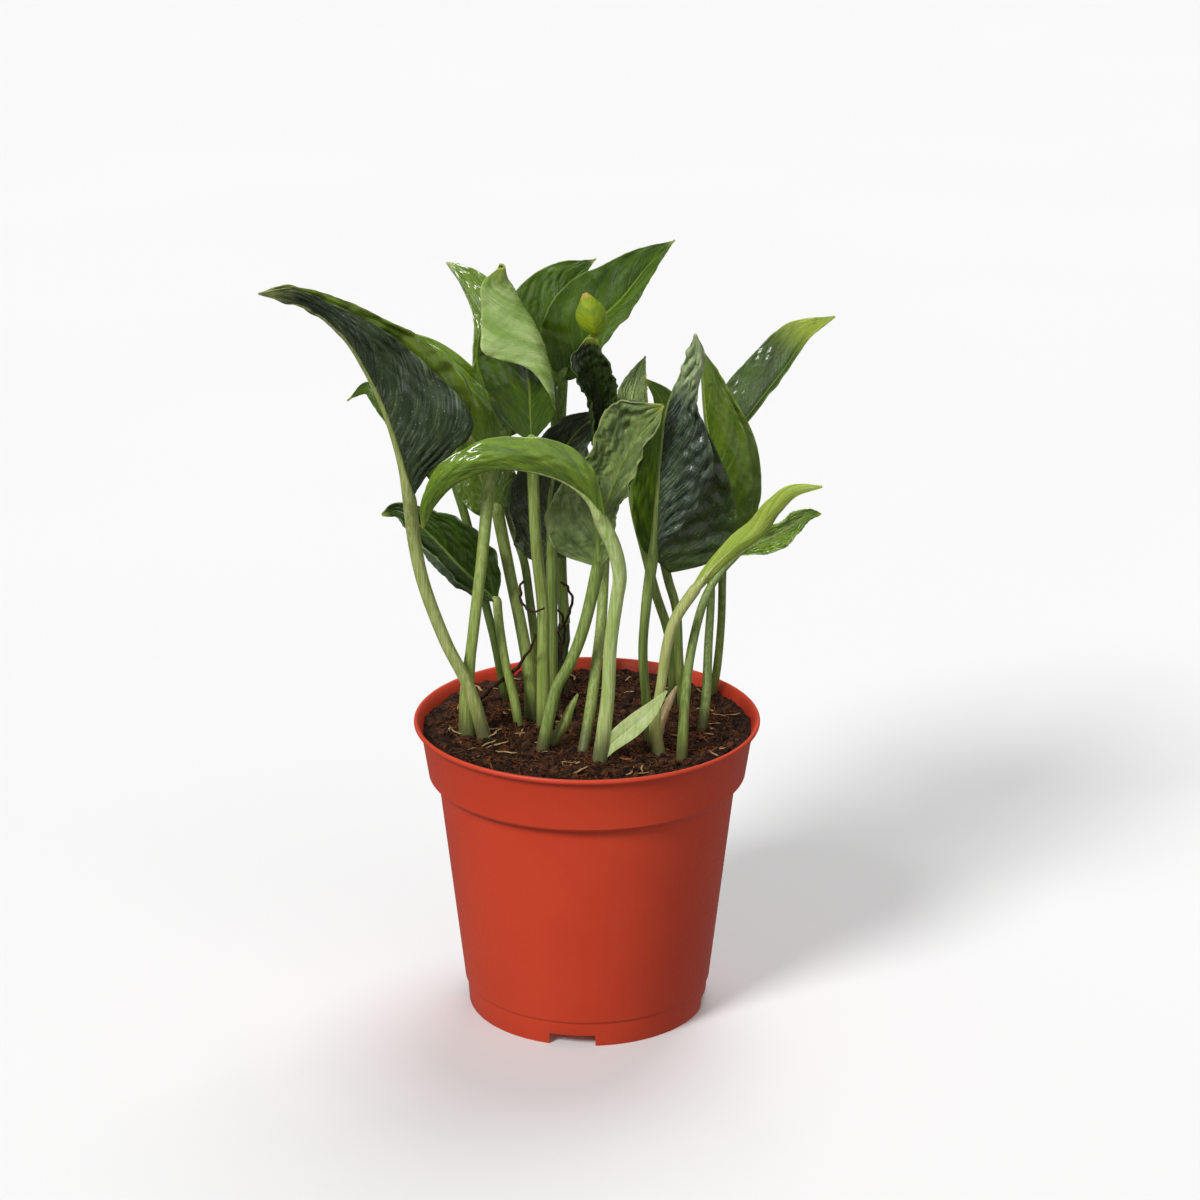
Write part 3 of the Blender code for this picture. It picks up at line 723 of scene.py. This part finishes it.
def foldDepth(leaf, seed, u, across, width, count):  # how far the pleats and crinkles push each point
    words = ("pleat", "crinkle", "ruffle")
    pleat, crinkle, ruffle = (
        leaf.get(word, depth) for word, depth in zip(words, leafKinds[leaf["kind"]]["folds"]))
    reach = np.abs(across)
    quilt = np.abs(np.sin(math.pi * count)) ** 0.7 - 0.6
    quilt *= pleat * np.clip(reach * 4, 0, 1) * (1 - 0.4 * reach)
    wrinkle = crinkle * (
        0.6 * ripples(seed, u * 3, across, 0.8)
        + 0.5 * ripples(seed + 1, u * 3 - 0.6 * reach, across * 1.6, 0.34)
        + 0.22 * ripples(seed + 3, u * 4 - 0.9 * reach, across * 2.4, 0.17))
    wrinkle *= np.clip(reach * 2.5, 0.15, 1)
    frill = ruffle * reach**3 * (
        0.8 * ripples(seed + 2, u * 3, across * 0.5, 0.5)
        + 0.25 * ripples(seed + 4, u * 3, across * 0.5, 0.2))
    crumple = leaf.get("crumple", 0) * np.clip((u - crumpleFrom) * 5, 0, 1)
    crumple = crumple * ripples(seed + 5, u * 5, across, 0.5)
    groove = -grooveDepth * np.exp(-((reach * width / grooveWidth) ** 2))
    ends = np.clip(np.minimum(u, 1 - u) * 9, 0, 1)
    upward = 1 if leaf.get("seen") == "upper" else -1
    return (upward * (quilt + groove) + wrinkle + frill + crumple) * np.minimum(width / 10, 1) * ends


def growBlade(leaf, seed, name, materials, slotName, *nodes):
    dropSelection()
    bpy.ops.mesh.primitive_grid_add(x_subdivisions=rowsAcross, y_subdivisions=rowsAlong, size=2.0)
    blade = bpy.context.object
    flat = np.array([vertex.co[:2] for vertex in blade.data.vertices])
    order = np.lexsort((flat[:, 0].round(5), flat[:, 1].round(5)))
    across = flat[order, 0].reshape(rowsAlong + 1, rowsAcross + 1)
    uLine = np.linspace(0, 1, rowsAlong + 1)
    halfLine = np.linspace(0, 1, rowsAcross // 2 + 1)[None, :]
    leftHalf, rightHalf = (halfPoints(leaf, side, uLine, halfLine) for side in (0, 1))
    points = np.concatenate([leftHalf[:, :0:-1], rightHalf], axis=1)
    normal = np.cross(np.gradient(points, axis=1), np.gradient(points, axis=0))
    normal /= np.maximum(np.linalg.norm(normal, axis=-1, keepdims=True), 1e-9)
    u = np.repeat(uLine[:, None], rowsAcross + 1, axis=1)
    leftWidth, rightWidth = (halfWidth(leaf, side, uLine)[:, None] for side in (0, 1))
    width = np.where(across > 0, rightWidth, leftWidth)
    count = veinCount * (u - veinLean * np.abs(across) ** 1.15) + np.where(across > 0, 0.37, 0.0) + 6
    points = points + foldDepth(leaf, seed, u, across, width, count)[..., None] * normal

    def spread(grid):  # values on the tidy grid, in the mesh's own order
        values = np.zeros((len(flat), *grid.shape[2:]))
        values[order] = grid.reshape(-1, *grid.shape[2:])
        return values

    blade.data.vertices.foreach_set("co", spread(world(points)).ravel())
    corner = np.array([loop.vertex_index for loop in blade.data.loops])
    for old in list(blade.data.uv_layers):
        blade.data.uv_layers.remove(old)
    maps = {"veins": (across * width / 10 + seed, count), "place": (u, np.abs(across))}
    for layerName, pair in maps.items():
        layer = blade.data.uv_layers.new(name=layerName)
        layer.data.foreach_set("uv", np.stack([spread(grid)[corner] for grid in pair], axis=1).ravel())
    sheet = blade.modifiers.new("Thickness", "SOLIDIFY")
    sheet.thickness = leaf.get("thickness", bladeThickness) * mm
    sheet.offset = 0.0
    sheet.material_offset = 1
    sheet.material_offset_rim = 0
    for material in materials:
        blade.data.materials.append(material)
    settle(blade)
    finishPiece(blade, name, [], slotName, *nodes)


def growTube(path, radii, name, material, slotName, *nodes, steps=48, soft=0.0, seed=1):
    points = smoothPath(path, steps)
    if soft:
        along = np.linspace(0, 1, steps + 1)
        sway = [ripples(seed + turn, along * 8, along, 1.4) for turn in range(2)]
        points = points + soft * np.stack([*sway, along * 0], axis=1)
    curve = bpy.data.curves.new(name, "CURVE")
    curve.dimensions = "3D"
    curve.bevel_depth = mm
    curve.bevel_resolution = 4
    curve.use_fill_caps = True
    spline = curve.splines.new("POLY")
    spline.points.add(steps)
    stations = np.linspace(0, 1, len(radii))
    for number, (knot, point) in enumerate(zip(spline.points, world(points))):
        knot.co = (*point, 1.0)
        knot.radius = float(np.interp(number / steps, stations, radii))
    choose(newObject(name, curve))
    bpy.ops.object.convert(target="MESH")
    tube = bpy.context.object
    settle(tube, 60)
    finishPiece(tube, name, [material], slotName, *nodes)


def grounded(path):  # a first point without a height goes down into the soil
    foot = path[0]
    if len(foot) == 3:
        return path
    return [(*foot, soilTop - 5.0), *path[1:]]


def evenAlong(path, values, steps):  # values given at a path's points, read at even distances
    run = runAlong(np.array(path, float))
    return np.interp(np.linspace(0, run[-1], steps + 1), run, values)


ribPoints = 25
stalkSteps = 24
tubeSteps = 110
neckRun = 0.07  # how far along the blade the stalk's thickness dies away


def growLeaf(leaf, seed):
    node = leaf["node"]
    words = node.split("_")
    title = words[0] + "".join(word.capitalize() for word in words[1:])
    kindName, seen = leaf["kind"], leaf.get("seen", "under")
    other = "under" if seen == "upper" else "upper"
    sides = [mixLeaf(kindName, seen), mixLeaf(kindName, other)]
    slotName = leaf.get("slot", leafKinds[kindName].get("slot", "leaf_green"))
    growBlade(leaf, seed, title + "Leaf", sides, slotName, "leaf_" + node)
    shares = np.linspace(0, 1, ribPoints)
    rib, _, _, front = midribFrames(leaf, shares)
    away = -1 if seen == "upper" else 1
    neck = leaf["radius"][-1]
    slim = leaf.get("rib", 0.42) * neck * (1 - shares) ** 0.9 + 0.22
    ribRadius = slim + (neck - slim) * np.exp(-((shares / neckRun) ** 1.3))
    proud = 0.5 * ribRadius if away > 0 else ribRadius + 0.35
    rib = rib + away * (proud * np.minimum(shares * 24, 1))[:, None] * front
    stalkRun = smoothPath([*grounded(leaf["stalk"]), tuple(rib[0])], stalkSteps)
    path = [*stalkRun, *rib[1:-1]]
    stations = np.linspace(0, 1, len(leaf["radius"]))
    stalkRadii = np.interp(np.linspace(0, 1, stalkSteps + 1), stations, leaf["radius"])
    radii = evenAlong(path, [*stalkRadii, *ribRadius[1:-1]], tubeSteps)
    skin = mixStalk(leaf.get("tone", "grassy"))
    growTube(path, radii, title + "Stalk", skin, "stalk", "stalk_" + node, steps=tubeSteps)


leaves = [
    {"node": "left_tall", "kind": "silverDark", "tone": "olive",
     "midrib": [(-59, -16, 189), (-62, -17, 204), (-66, -19, 219), (-72, -23, 235), (-79, -30, 249),
       (-89, -39, 260), (-103, -52, 268)],
     "reach": ((0.5, 11, 27, 29, 24.5, 19.5, 13, 9, 6.5, 5, 0.4),
       (0.5, 11, 28, 27, 21, 16.5, 11, 6.5, 5, 4, 0.4)),
     "angle": ((-20, -20, -30), (40, 40, 20)), "curl": ((10, 20, 0), (-30, -60, -30)), "crinkle": 1.2,
     "crumple": 0.8, "pleat": 0.55,
     "stalk": [(-34, -14), (-40, -14, 121), (-48, -13, 138), (-55, -12, 158), (-58, -12, 174)],
     "radius": (2.6, 2.1, 2.2, 2.4)},
    {"node": "left_green", "kind": "brightGreen", "tone": "fresh", "slot": "leaf_pale",
     "midrib": [(-33, 8, 194), (-37, 8, 200), (-42, 9, 207), (-49, 10, 215), (-58, 12, 226),
       (-72, 15, 235), (-88, 20, 242)],
     "width": (18, 15), "taper": (1.4, 1.4), "lobe": 3,
     "angle": ((-25, -20, -20), (40, 35, 20)), "curl": ((0, 10, 0), (-30, -50, -30)),
     "stalk": [(-41, -9), (-41, -9, 119), (-39, -8, 137), (-36, -5, 161), (-34, 2, 180)],
     "radius": (3.4, 1.9, 2, 2.2)},
    {"node": "hooded", "kind": "paleYoung", "seen": "upper", "tone": "fresh",
     "midrib": [(-18.5, 2, 204), (-19, 2, 215), (-19.5, 2, 225), (-22, 3, 237), (-26.5, 2, 250),
       (-28.5, -1, 260), (-28, -6, 267)],
     "reach": ((0.5, 9, 13, 14.5, 15.5, 15.5, 13, 8, 4.5, 2, 0.5),
       (0.5, 6.5, 12, 17.5, 21.5, 28.5, 32, 26.5, 20.5, 14.5, 4)),
     "angle": (185, -5), "curl": (0, (178, 178, 176)), "bend": (None, ((2, 2, 0.3), (16, 16, 2.5))),
     "pleat": 0.1, "ruffle": 0.4,
     "stalk": [(-15, -4), (-15, -4, 124), (-15, -3, 146), (-17, -2, 167), (-18, 0, 188)],
     "radius": (2.6, 2.1, 2, 2)},
    {"node": "arched", "kind": "brightGreen", "tone": "whitish",
     "midrib": [(5, -40, 189), (0, -43, 198), (-8, -46, 205), (-18, -49, 209), (-29, -51, 210.5),
       (-41, -50, 206), (-49, -47, 197), (-53, -45, 188)],
     "reach": ((2.4, 4, 7, 10, 11.5, 11, 10.5, 9, 7, 4, 0.4),
       (2.4, 5, 10, 12.5, 12.5, 11.5, 10.5, 9, 7, 4.2, 0.4)),
     "angle": ((-30, -40, -40), 60), "curl": ((-20, 0, 0), (-40, -90, -60)), "lobe": -2, "rib": 0.2,
     "crinkle": 0.45,
     "stalk": [(4, -34), (7, -35, 125), (8, -36, 145), (10, -37, 161), (11, -38, 170), (9, -39, 180)],
     "radius": (2.8, 2.3, 2.3, 2.6)},
    {"node": "centre_pouch", "kind": "greyGreen",
     "midrib": [(4, -21, 168), (5, -22, 183), (10, -24, 199), (16, -27, 213), (25, -31, 226)],
     "reach": ((1, 14, 18, 18.5, 16.5, 13.5, 12, 13, 14, 12, 0.6), (1, 5, 7, 8, 8, 8, 7, 6, 5, 3.5, 0.6)),
     "angle": ((195, 185, 150), (60, 50, 20)), "curl": ((-30, -30, 0), 0), "lobe": 3, "crinkle": 1.1,
     "crumple": 0.9,
     "stalk": [(-16, -27), (-11, -25, 123), (-6, -24, 133), (-2, -23, 143), (1, -22, 154)],
     "radius": (2.3, 1.9, 2, 2.2)},
    {"node": "centre_back", "kind": "silverDark",
     "midrib": [(-12, 11, 161), (-13, 12, 173), (-12, 13, 185), (-8, 13, 197), (-2, 12, 206),
       (8, 10, 213)],
     "width": (15, 13), "lobe": 4, "angle": ((180, 180, 170), 0), "curl": ((-40, -40, -20), 20),
     "stalk": [(-11, 13), (-12, 11, 117), (-12, 11, 137)], "radius": (2.3, 1.9, 1.8, 2.2)},
    {"node": "back_right", "kind": "deepGreen", "seen": "upper",
     "midrib": [(-8, 15, 224), (-2, 17, 232), (4, 20, 241), (12, 25, 248), (21, 31, 258), (30, 39, 265)],
     "width": (17, 9), "lobe": 3, "angle": ((180, 175, 180), (50, 55, 50)), "curl": ((-20, -10, 0), -20),
     "stalk": [(-8, 30, 129.5), (-9, 29, 149), (-9, 26, 176), (-9, 21, 203)],
     "radius": (2, 1.8, 1.8, 1.8)},
    {"node": "back_middle", "kind": "deepGreen", "seen": "upper", "tone": "shaded",
     "midrib": [(-12, 29, 217), (-12, 31, 230), (-11, 35, 240), (-6, 41, 249), (3, 50, 256)],
     "width": (18, 6), "lobe": 3, "angle": ((180, 175, 180), 10), "curl": ((-20, -10, 0), 0),
     "stalk": [(-15, 33), (-16, 31, 138), (-14, 32, 167), (-11, 31, 196)], "radius": (2, 1.6, 1.6)},
    {"node": "back_left", "kind": "brightGreen",
     "midrib": [(-29, 36, 197), (-30, 38, 210), (-33, 42, 226), (-37, 48, 238), (-49, 57, 253)],
     "width": (10, 13), "taper": (2, 0.7), "lobe": 3,
     "angle": ((170, 175, 180), 10), "curl": ((-10, -10, 0), 0),
     "stalk": [(-16, 29), (-18, 22, 124), (-20, 24, 139), (-22, 27, 153), (-26, 30, 165), (-30, 34, 181)],
     "radius": (1.8, 1.5, 1.5)},
    {"node": "spoon_tip", "kind": "darkRolled", "seen": "upper", "tone": "fresh",
     "midrib": [(6.5, 2, 201), (5.5, 0, 213), (4, -3, 225), (2, -7, 235), (1.8, -9, 243)],
     "reach": ((4, 8, 9, 8.5, 8, 8, 9, 10, 9, 6, 2), (4, 7, 8, 8, 8, 8, 8, 8, 7, 4, 2)),
     "angle": (180, 0), "curl": ((-120, -110, -30), (110, 100, 50)), "crinkle": 0.9, "ruffle": 0.5,
     "crumple": 0.8,
     "stalk": [(-2, -28), (1, -22, 115), (3, -17, 129), (5, -11, 145), (6, -4, 164), (7, 0, 184)],
     "radius": (2, 1.8, 1.8),
     "bud": {"kind": "yellowBud",
      "midrib": [(2.6, -10, 243.4), (2.6, -12.5, 246), (2, -14, 250), (1, -14, 254),
          (-0.4, -12.6, 258.8)],
      "reach": [(1.2, 5.4, 7, 7.6, 7.8, 7.6, 7.2, 6.4, 5, 3.2, 0.8)] * 2,
      "angle": (180, 0), "curl": (90, -90)}},
    {"node": "small_back", "kind": "greyGreen",
     "midrib": [(14, 17, 202), (15, 19, 212), (17, 23, 220), (20, 28, 227)],
     "width": (6, 6), "angle": ((180, 170, 180), 20), "curl": ((0, -10, 0), 0),
     "stalk": [(30, 21), (30, 20, 118), (28, 20, 131), (24, 19, 144), (20, 18, 160), (16, 17, 178)],
     "radius": (1.8, 1.6, 1.5)},
    {"node": "right_inner", "kind": "deepGreen", "seen": "upper",
     "midrib": [(26, 6, 162), (24, 7, 179), (25, 9, 195), (27, 12, 208), (25, 14, 216), (19, 16, 223)],
     "width": (9, 16), "lobe": 3, "angle": (175, 5), "curl": ((-20, -20, 0), 0),
     "stalk": [(34, 11), (32, 9, 122), (31, 8, 141), (28, 7, 153)], "radius": (1.8, 1.6, 1.6)},
    {"node": "right_dark", "kind": "silverPaleTip",
     "midrib": [(22, -19, 169), (23, -20, 183), (24, -21, 198), (25, -22, 212), (27, -24, 224),
       (31, -28, 236), (35, -36, 251)],
     "reach": ((6, 24, 28, 26, 22, 17, 12, 8, 6.5, 5.5, 0.6),
       (0.5, 3, 9, 15, 18.5, 17.5, 14, 9, 7, 6, 0.6)),
     "angle": ((-10, -20, -20), (40, 40, 20)), "curl": (0, (-50, -60, -30)), "lobe": 10, "pleat": 0.6,
     "crinkle": 1.1, "crumple": 1.5,
     "stalk": [(22, -20), (20, -20, 121), (19, -20, 137), (20, -20, 153)], "radius": (2, 1.6, 1.6, 2)},
    {"node": "right_green", "kind": "olive", "seen": "upper",
     "midrib": [(47, 15, 163), (43, 14, 178), (42, 14, 196), (40, 15, 211), (39, 17, 224), (38, 20, 233)],
     "width": (18, 15), "taper": (1, 1), "lobe": 5,
     "angle": ((-20, -20, -10), (30, 30, 20)), "curl": ((10, 20, 0), (-30, -50, -30)),
     "stalk": [(44, 31), (46, 28, 114), (47, 23, 132), (47, 18, 149)], "radius": (1.6, 1.4, 1.4)},
    {"node": "far_right", "kind": "darkGloss", "seen": "upper",
     "midrib": [(44, 34, 183), (52, 37, 197), (60, 42, 207), (69, 48, 217), (77, 54, 227), (87, 60, 233)],
     "reach": ((0.5, 8, 11, 12.5, 13, 12.5, 12, 11, 8.5, 4, 0.3),
       (0.5, 2, 3, 3.5, 3.5, 3.5, 3, 2.5, 2, 1.2, 0.3)),
     "angle": ((190, 185, 180), (70, 70, 60)), "curl": ((10, 0, 0), 0),
     "stalk": [(39, -6), (41, -3, 113), (42, 6, 130), (43, 14, 145), (43, 24, 162)],
     "radius": (1.8, 1.4, 1.4)},
    {"node": "low_rolled", "kind": "freshPale", "tone": "straw",
     "midrib": [(36, -32, 163), (42, -33, 171), (49, -35, 179), (56, -38, 186), (61, -41, 194),
       (67, -45, 201), (76, -50, 204)],
     "reach": ((1.6, 2.6, 3.2, 3.8, 4.2, 4.2, 3.8, 3.2, 2.4, 1.4, 0.3),
       (1.6, 2.4, 3, 3.4, 3.8, 3.8, 3.4, 3, 2.4, 1.4, 0.3)),
     "angle": (185, -5), "curl": ((60, 50, 20), (-60, -60, -20)), "rib": 0.05,
     "stalk": [(25, -27), (23, -28, 113), (25, -29, 128), (27, -30, 143), (30, -31, 153)],
     "radius": (2.7, 1.6, 1.8, 2)},
    {"node": "low_crumpled", "kind": "brightGreen", "slot": "leaf_dark",
     "midrib": [(51, -15, 170), (57, -14, 173), (63, -12, 175), (69, -10, 178), (74, -8, 181),
       (79, -6, 181)],
     "reach": ((1, 3, 4, 4.5, 4, 3.6, 4, 4, 3, 1.8, 0.3), (1, 2.5, 4, 5, 5.5, 5, 4, 3, 2.2, 1.4, 0.3)),
     "angle": (160, 20), "curl": ((0, -20, 0), 0), "crinkle": 0.9, "ruffle": 1.4, "crumple": 0.8,
     "stalk": [(32, -31), (33, -29, 121), (35, -25, 138), (39, -21, 154), (44, -18, 163)],
     "radius": (2, 1.6, 1.5, 1.2)},
    {"node": "low_left", "kind": "foldedSilver", "seen": "upper", "tone": "fresh",
     "midrib": [(-31, 6, 146), (-37, 8, 151), (-44, 11, 157), (-52, 14, 165), (-59, 17, 171),
       (-65, 20, 174), (-71, 22, 172)],
     "reach": ((0.5, 8, 12, 14, 15, 14, 12, 9, 5.5, 3, 0.4), (0.5, 9, 13, 14, 14, 13, 11, 8, 5, 3, 0.4)),
     "angle": ((185, 185, 180), (15, 15, 20)), "curl": ((-120, -150, -60), (20, 30, 40)), "crinkle": 0.5,
     "stalk": [(-23, -3), (-25, -2, 112), (-28, 0, 125), (-30, 3, 137)], "radius": (1.8, 1.5, 1.6)},
    {"node": "far_left", "kind": "deepGreen", "seen": "upper", "tone": "shaded",
     "midrib": [(-46, 30, 181), (-51, 33, 191), (-60, 37, 200), (-71, 42, 208), (-77, 45, 211),
       (-84, 47, 206)],
     "width": (9, 9), "taper": (1.3, 1.3), "lobe": 3, "angle": (180, 0),
     "stalk": [(-28, 23), (-32, 21, 124), (-35, 22, 137), (-38, 24, 151), (-42, 27, 168)],
     "radius": (1.8, 1.5, 1.6)},
    {"node": "left_inner", "kind": "olive", "seen": "upper", "tone": "fresh",
     "midrib": [(-31, 19, 175), (-36, 22, 183), (-39, 25, 192), (-41, 29, 201), (-42, 33, 209)],
     "width": (9, 12), "lobe": 3, "angle": (180, 0),
     "stalk": [(-19, 5), (-20, 7, 118), (-23, 10, 136), (-26, 13, 150), (-29, 16, 165)],
     "radius": (2.8, 2.2, 2, 2.2)},
]
for number, leaf in enumerate(leaves):
    growLeaf(leaf, 21 + number)
    if "bud" in leaf:  # the young shoot that stands out of the rolled leaf
        skins = [mixLeaf("yellowBud", side) for side in ("under", "upper")]
        growBlade(leaf["bud"], 41, "spoonBud", skins, "leaf_pale")
print("leaves grown")


# The old vine, the papery sheaths that the young leaves came out of, an air root, tendrils

def mixPaper(name, *colours):
    light, deep, worn = tones(*colours)
    mix = Finish(name)
    fibres = mix.noise(mix.stretched(mix.here, (1.0, 1.0, 0.12)), 1200.0, 3.0)
    patches = mix.noise(mix.here, 120.0, 3.0)
    colour = mix.blend(mix.ramp(fibres, 0.35, 0.65), light, deep)
    colour = mix.blend(mix.ramp(patches, 0.5, 0.7, 0.0, 0.6), colour, worn)
    return mix.done(colour, 0.5, mix.bump(fibres, 0.0002, 0.6), Subsurface_Weight=0.1,
                    Subsurface_Scale=0.002)


sheathFront = {
    "kind": "papery", "thickness": 0.35,
    "midrib": [(3, -34, 101), (8, -35, 109), (15.5, -36, 116), (21.5, -36.5, 122), (26.8, -37, 129)],
    "reach": [(1.2, 2.2, 3.2, 3.6, 3.2, 2.0, 0.3)] * 2,
    "angle": ((150, 160, 170), (30, 20, 10)), "curl": ((20, 20, 10), (-20, -20, -10)),
}
sheathSmall = {
    "kind": "papery", "thickness": 0.35,
    "midrib": [(-14, -24, 100), (-11, -24, 106), (-7.5, -23, 112), (-5.5, -22, 117), (-3, -20, 121.5)],
    "reach": [(2, 2.6, 2.6, 2.2, 1.3, 0.3)] * 2,
    "angle": ((200, 200, 190), (-20, -20, -10)), "curl": ((60, 50, 20), (-60, -50, -20)),
}
sheathDry = {
    "kind": "papery", "thickness": 0.35,
    "midrib": [(26, -21, 99), (24.5, -21, 104), (25, -20, 110), (27.5, -19, 117), (30.5, -18, 123.5)],
    "reach": [(1.5, 2.4, 2.6, 2.2, 1.4, 0.3)] * 2,
    "angle": ((200, 200, 190), (-20, -20, -10)), "curl": ((70, 60, 20), (-70, -60, -20)),
}
paleGreen = mixPaper("greenSheath", (190, 204, 140), (164, 186, 110), (204, 212, 164))
straw = mixPaper("strawSheath", (206, 184, 142), (172, 150, 104), (150, 118, 82))
dryRoot = mixEarth("dryRoot", 700.0, (52, 36, 26), (84, 60, 42), (122, 92, 66))
growBlade(sheathFront, 51, "frontSheath", [paleGreen] * 2, "sheath", "sheath_front")
growBlade(sheathSmall, 52, "smallSheath", [mixStalk("fresh")] * 2, "sheath", "sheath_small")
growBlade(sheathDry, 53, "drySheath", [straw] * 2, "sheath", "sheath_dry")

vineStem = {"path": [(-9, 31), (-9, 31, 112), (-9, 31, 120), (-8, 30, 131)],
            "radii": [2.8, 2.5, 2.4, 2.9, 2.4, 2.3, 2.8, 2.2, 1.7]}
growTube(grounded(vineStem["path"]), vineStem["radii"], "vineStem", mixStalk("vine"), "stalk", "vine_stem")

airRoot = {"path": [(-40, 24, 101), (-37, 20, 106), (-32, 12, 113), (-26, 2, 121), (-20.5, -8, 131),
                    (-17, -14, 141)],
           "radii": [0.9, 0.85, 0.7, 0.8, 0.6, 0.5, 0.3]}
growTube(airRoot["path"], airRoot["radii"], "airRoot", dryRoot, "dry_root", "air_root", soft=0.35, seed=61)

tendrils = {
    "leftTendril": [(-22, -8, 158), (-22.5, -10, 153), (-20.5, -11, 149), (-17, -11, 148),
                    (-14.5, -10, 149)],
    "midTendril": [(-9, 8, 152), (-6, 7, 150), (-5, 6, 145), (-7, 6, 139), (-9.5, 8, 134), (-9, 12, 128)],
    "lowTendril": [(-12, 18, 140), (-9, 17, 137), (-8, 18, 130), (-9.5, 20, 122), (-8, 22, 114),
                   (-9, 22, 102)],
}
for number, (name, path) in enumerate(tendrils.items()):
    growTube(path, [0.4, 0.5, 0.4, 0.3], name, dryRoot, "dry_root", soft=0.3, seed=70 + number)
print("stems and roots grown")


# Floor, lights and camera

stageShape = {
    "floor": 120.0, "world": 0.22, "cameraPlace": (4.5, -1040.4, 505.3), "tilt": 71.06, "lens": 96.4,
    "lights": (("keyLight", (-0.68, -0.75, 0.80), 2.5, 18),  # where it comes from, strength, softness
               ("topLight", (0.15, 0.45, 1.0), 1.5, 30),
               ("fillLight", (0.6, -1.0, 0.35), 0.7, 70)),
}


def setStage():
    dropSelection()
    bpy.ops.mesh.primitive_plane_add(size=stageShape["floor"], location=(0, 0, 0))
    floor = bpy.context.object
    floor.name = "paleFloor"
    mix = Finish("palePaper")
    cloud = mix.ramp(mix.noise(mix.here, 1.5, 2.0), 0.3, 0.7)
    grain = mix.noise(mix.here, 900.0, 2.0)
    colour = mix.blend(cloud, (0.80, 0.80, 0.80, 1.0), (0.785, 0.785, 0.785, 1.0))
    floor.data.materials.append(mix.done(colour, 0.9, mix.bump(grain, 0.00005, 0.2)))
    floor.visible_diffuse = False  # so that the floor throws no glow up on the leaves
    floor.visible_glossy = False

    sky = bpy.data.worlds.new("paleRoom")
    sky.use_nodes = True
    glow = sky.node_tree.nodes["Background"].inputs
    glow["Color"].default_value = (1.0, 1.0, 1.0, 1.0)
    glow["Strength"].default_value = stageShape["world"]
    bpy.context.scene.world = sky
    for name, origin, strength, softness in stageShape["lights"]:
        lamp = bpy.data.lights.new(name, "SUN")
        lamp.energy = strength
        lamp.angle = math.radians(softness)
        newObject(name, lamp).rotation_euler = (-Vector(origin)).to_track_quat("-Z", "Y").to_euler()

    lens = bpy.data.cameras.new("camera")
    lens.lens = stageShape["lens"]
    lens.sensor_width = 36.0
    camera = newObject("camera", lens)
    camera.location = world(stageShape["cameraPlace"])
    camera.rotation_euler = (math.radians(stageShape["tilt"]), 0.0, 0.0)
    bpy.context.scene.camera = camera
    bpy.context.scene.view_settings.view_transform = "Standard"


setStage()
print("stage set")
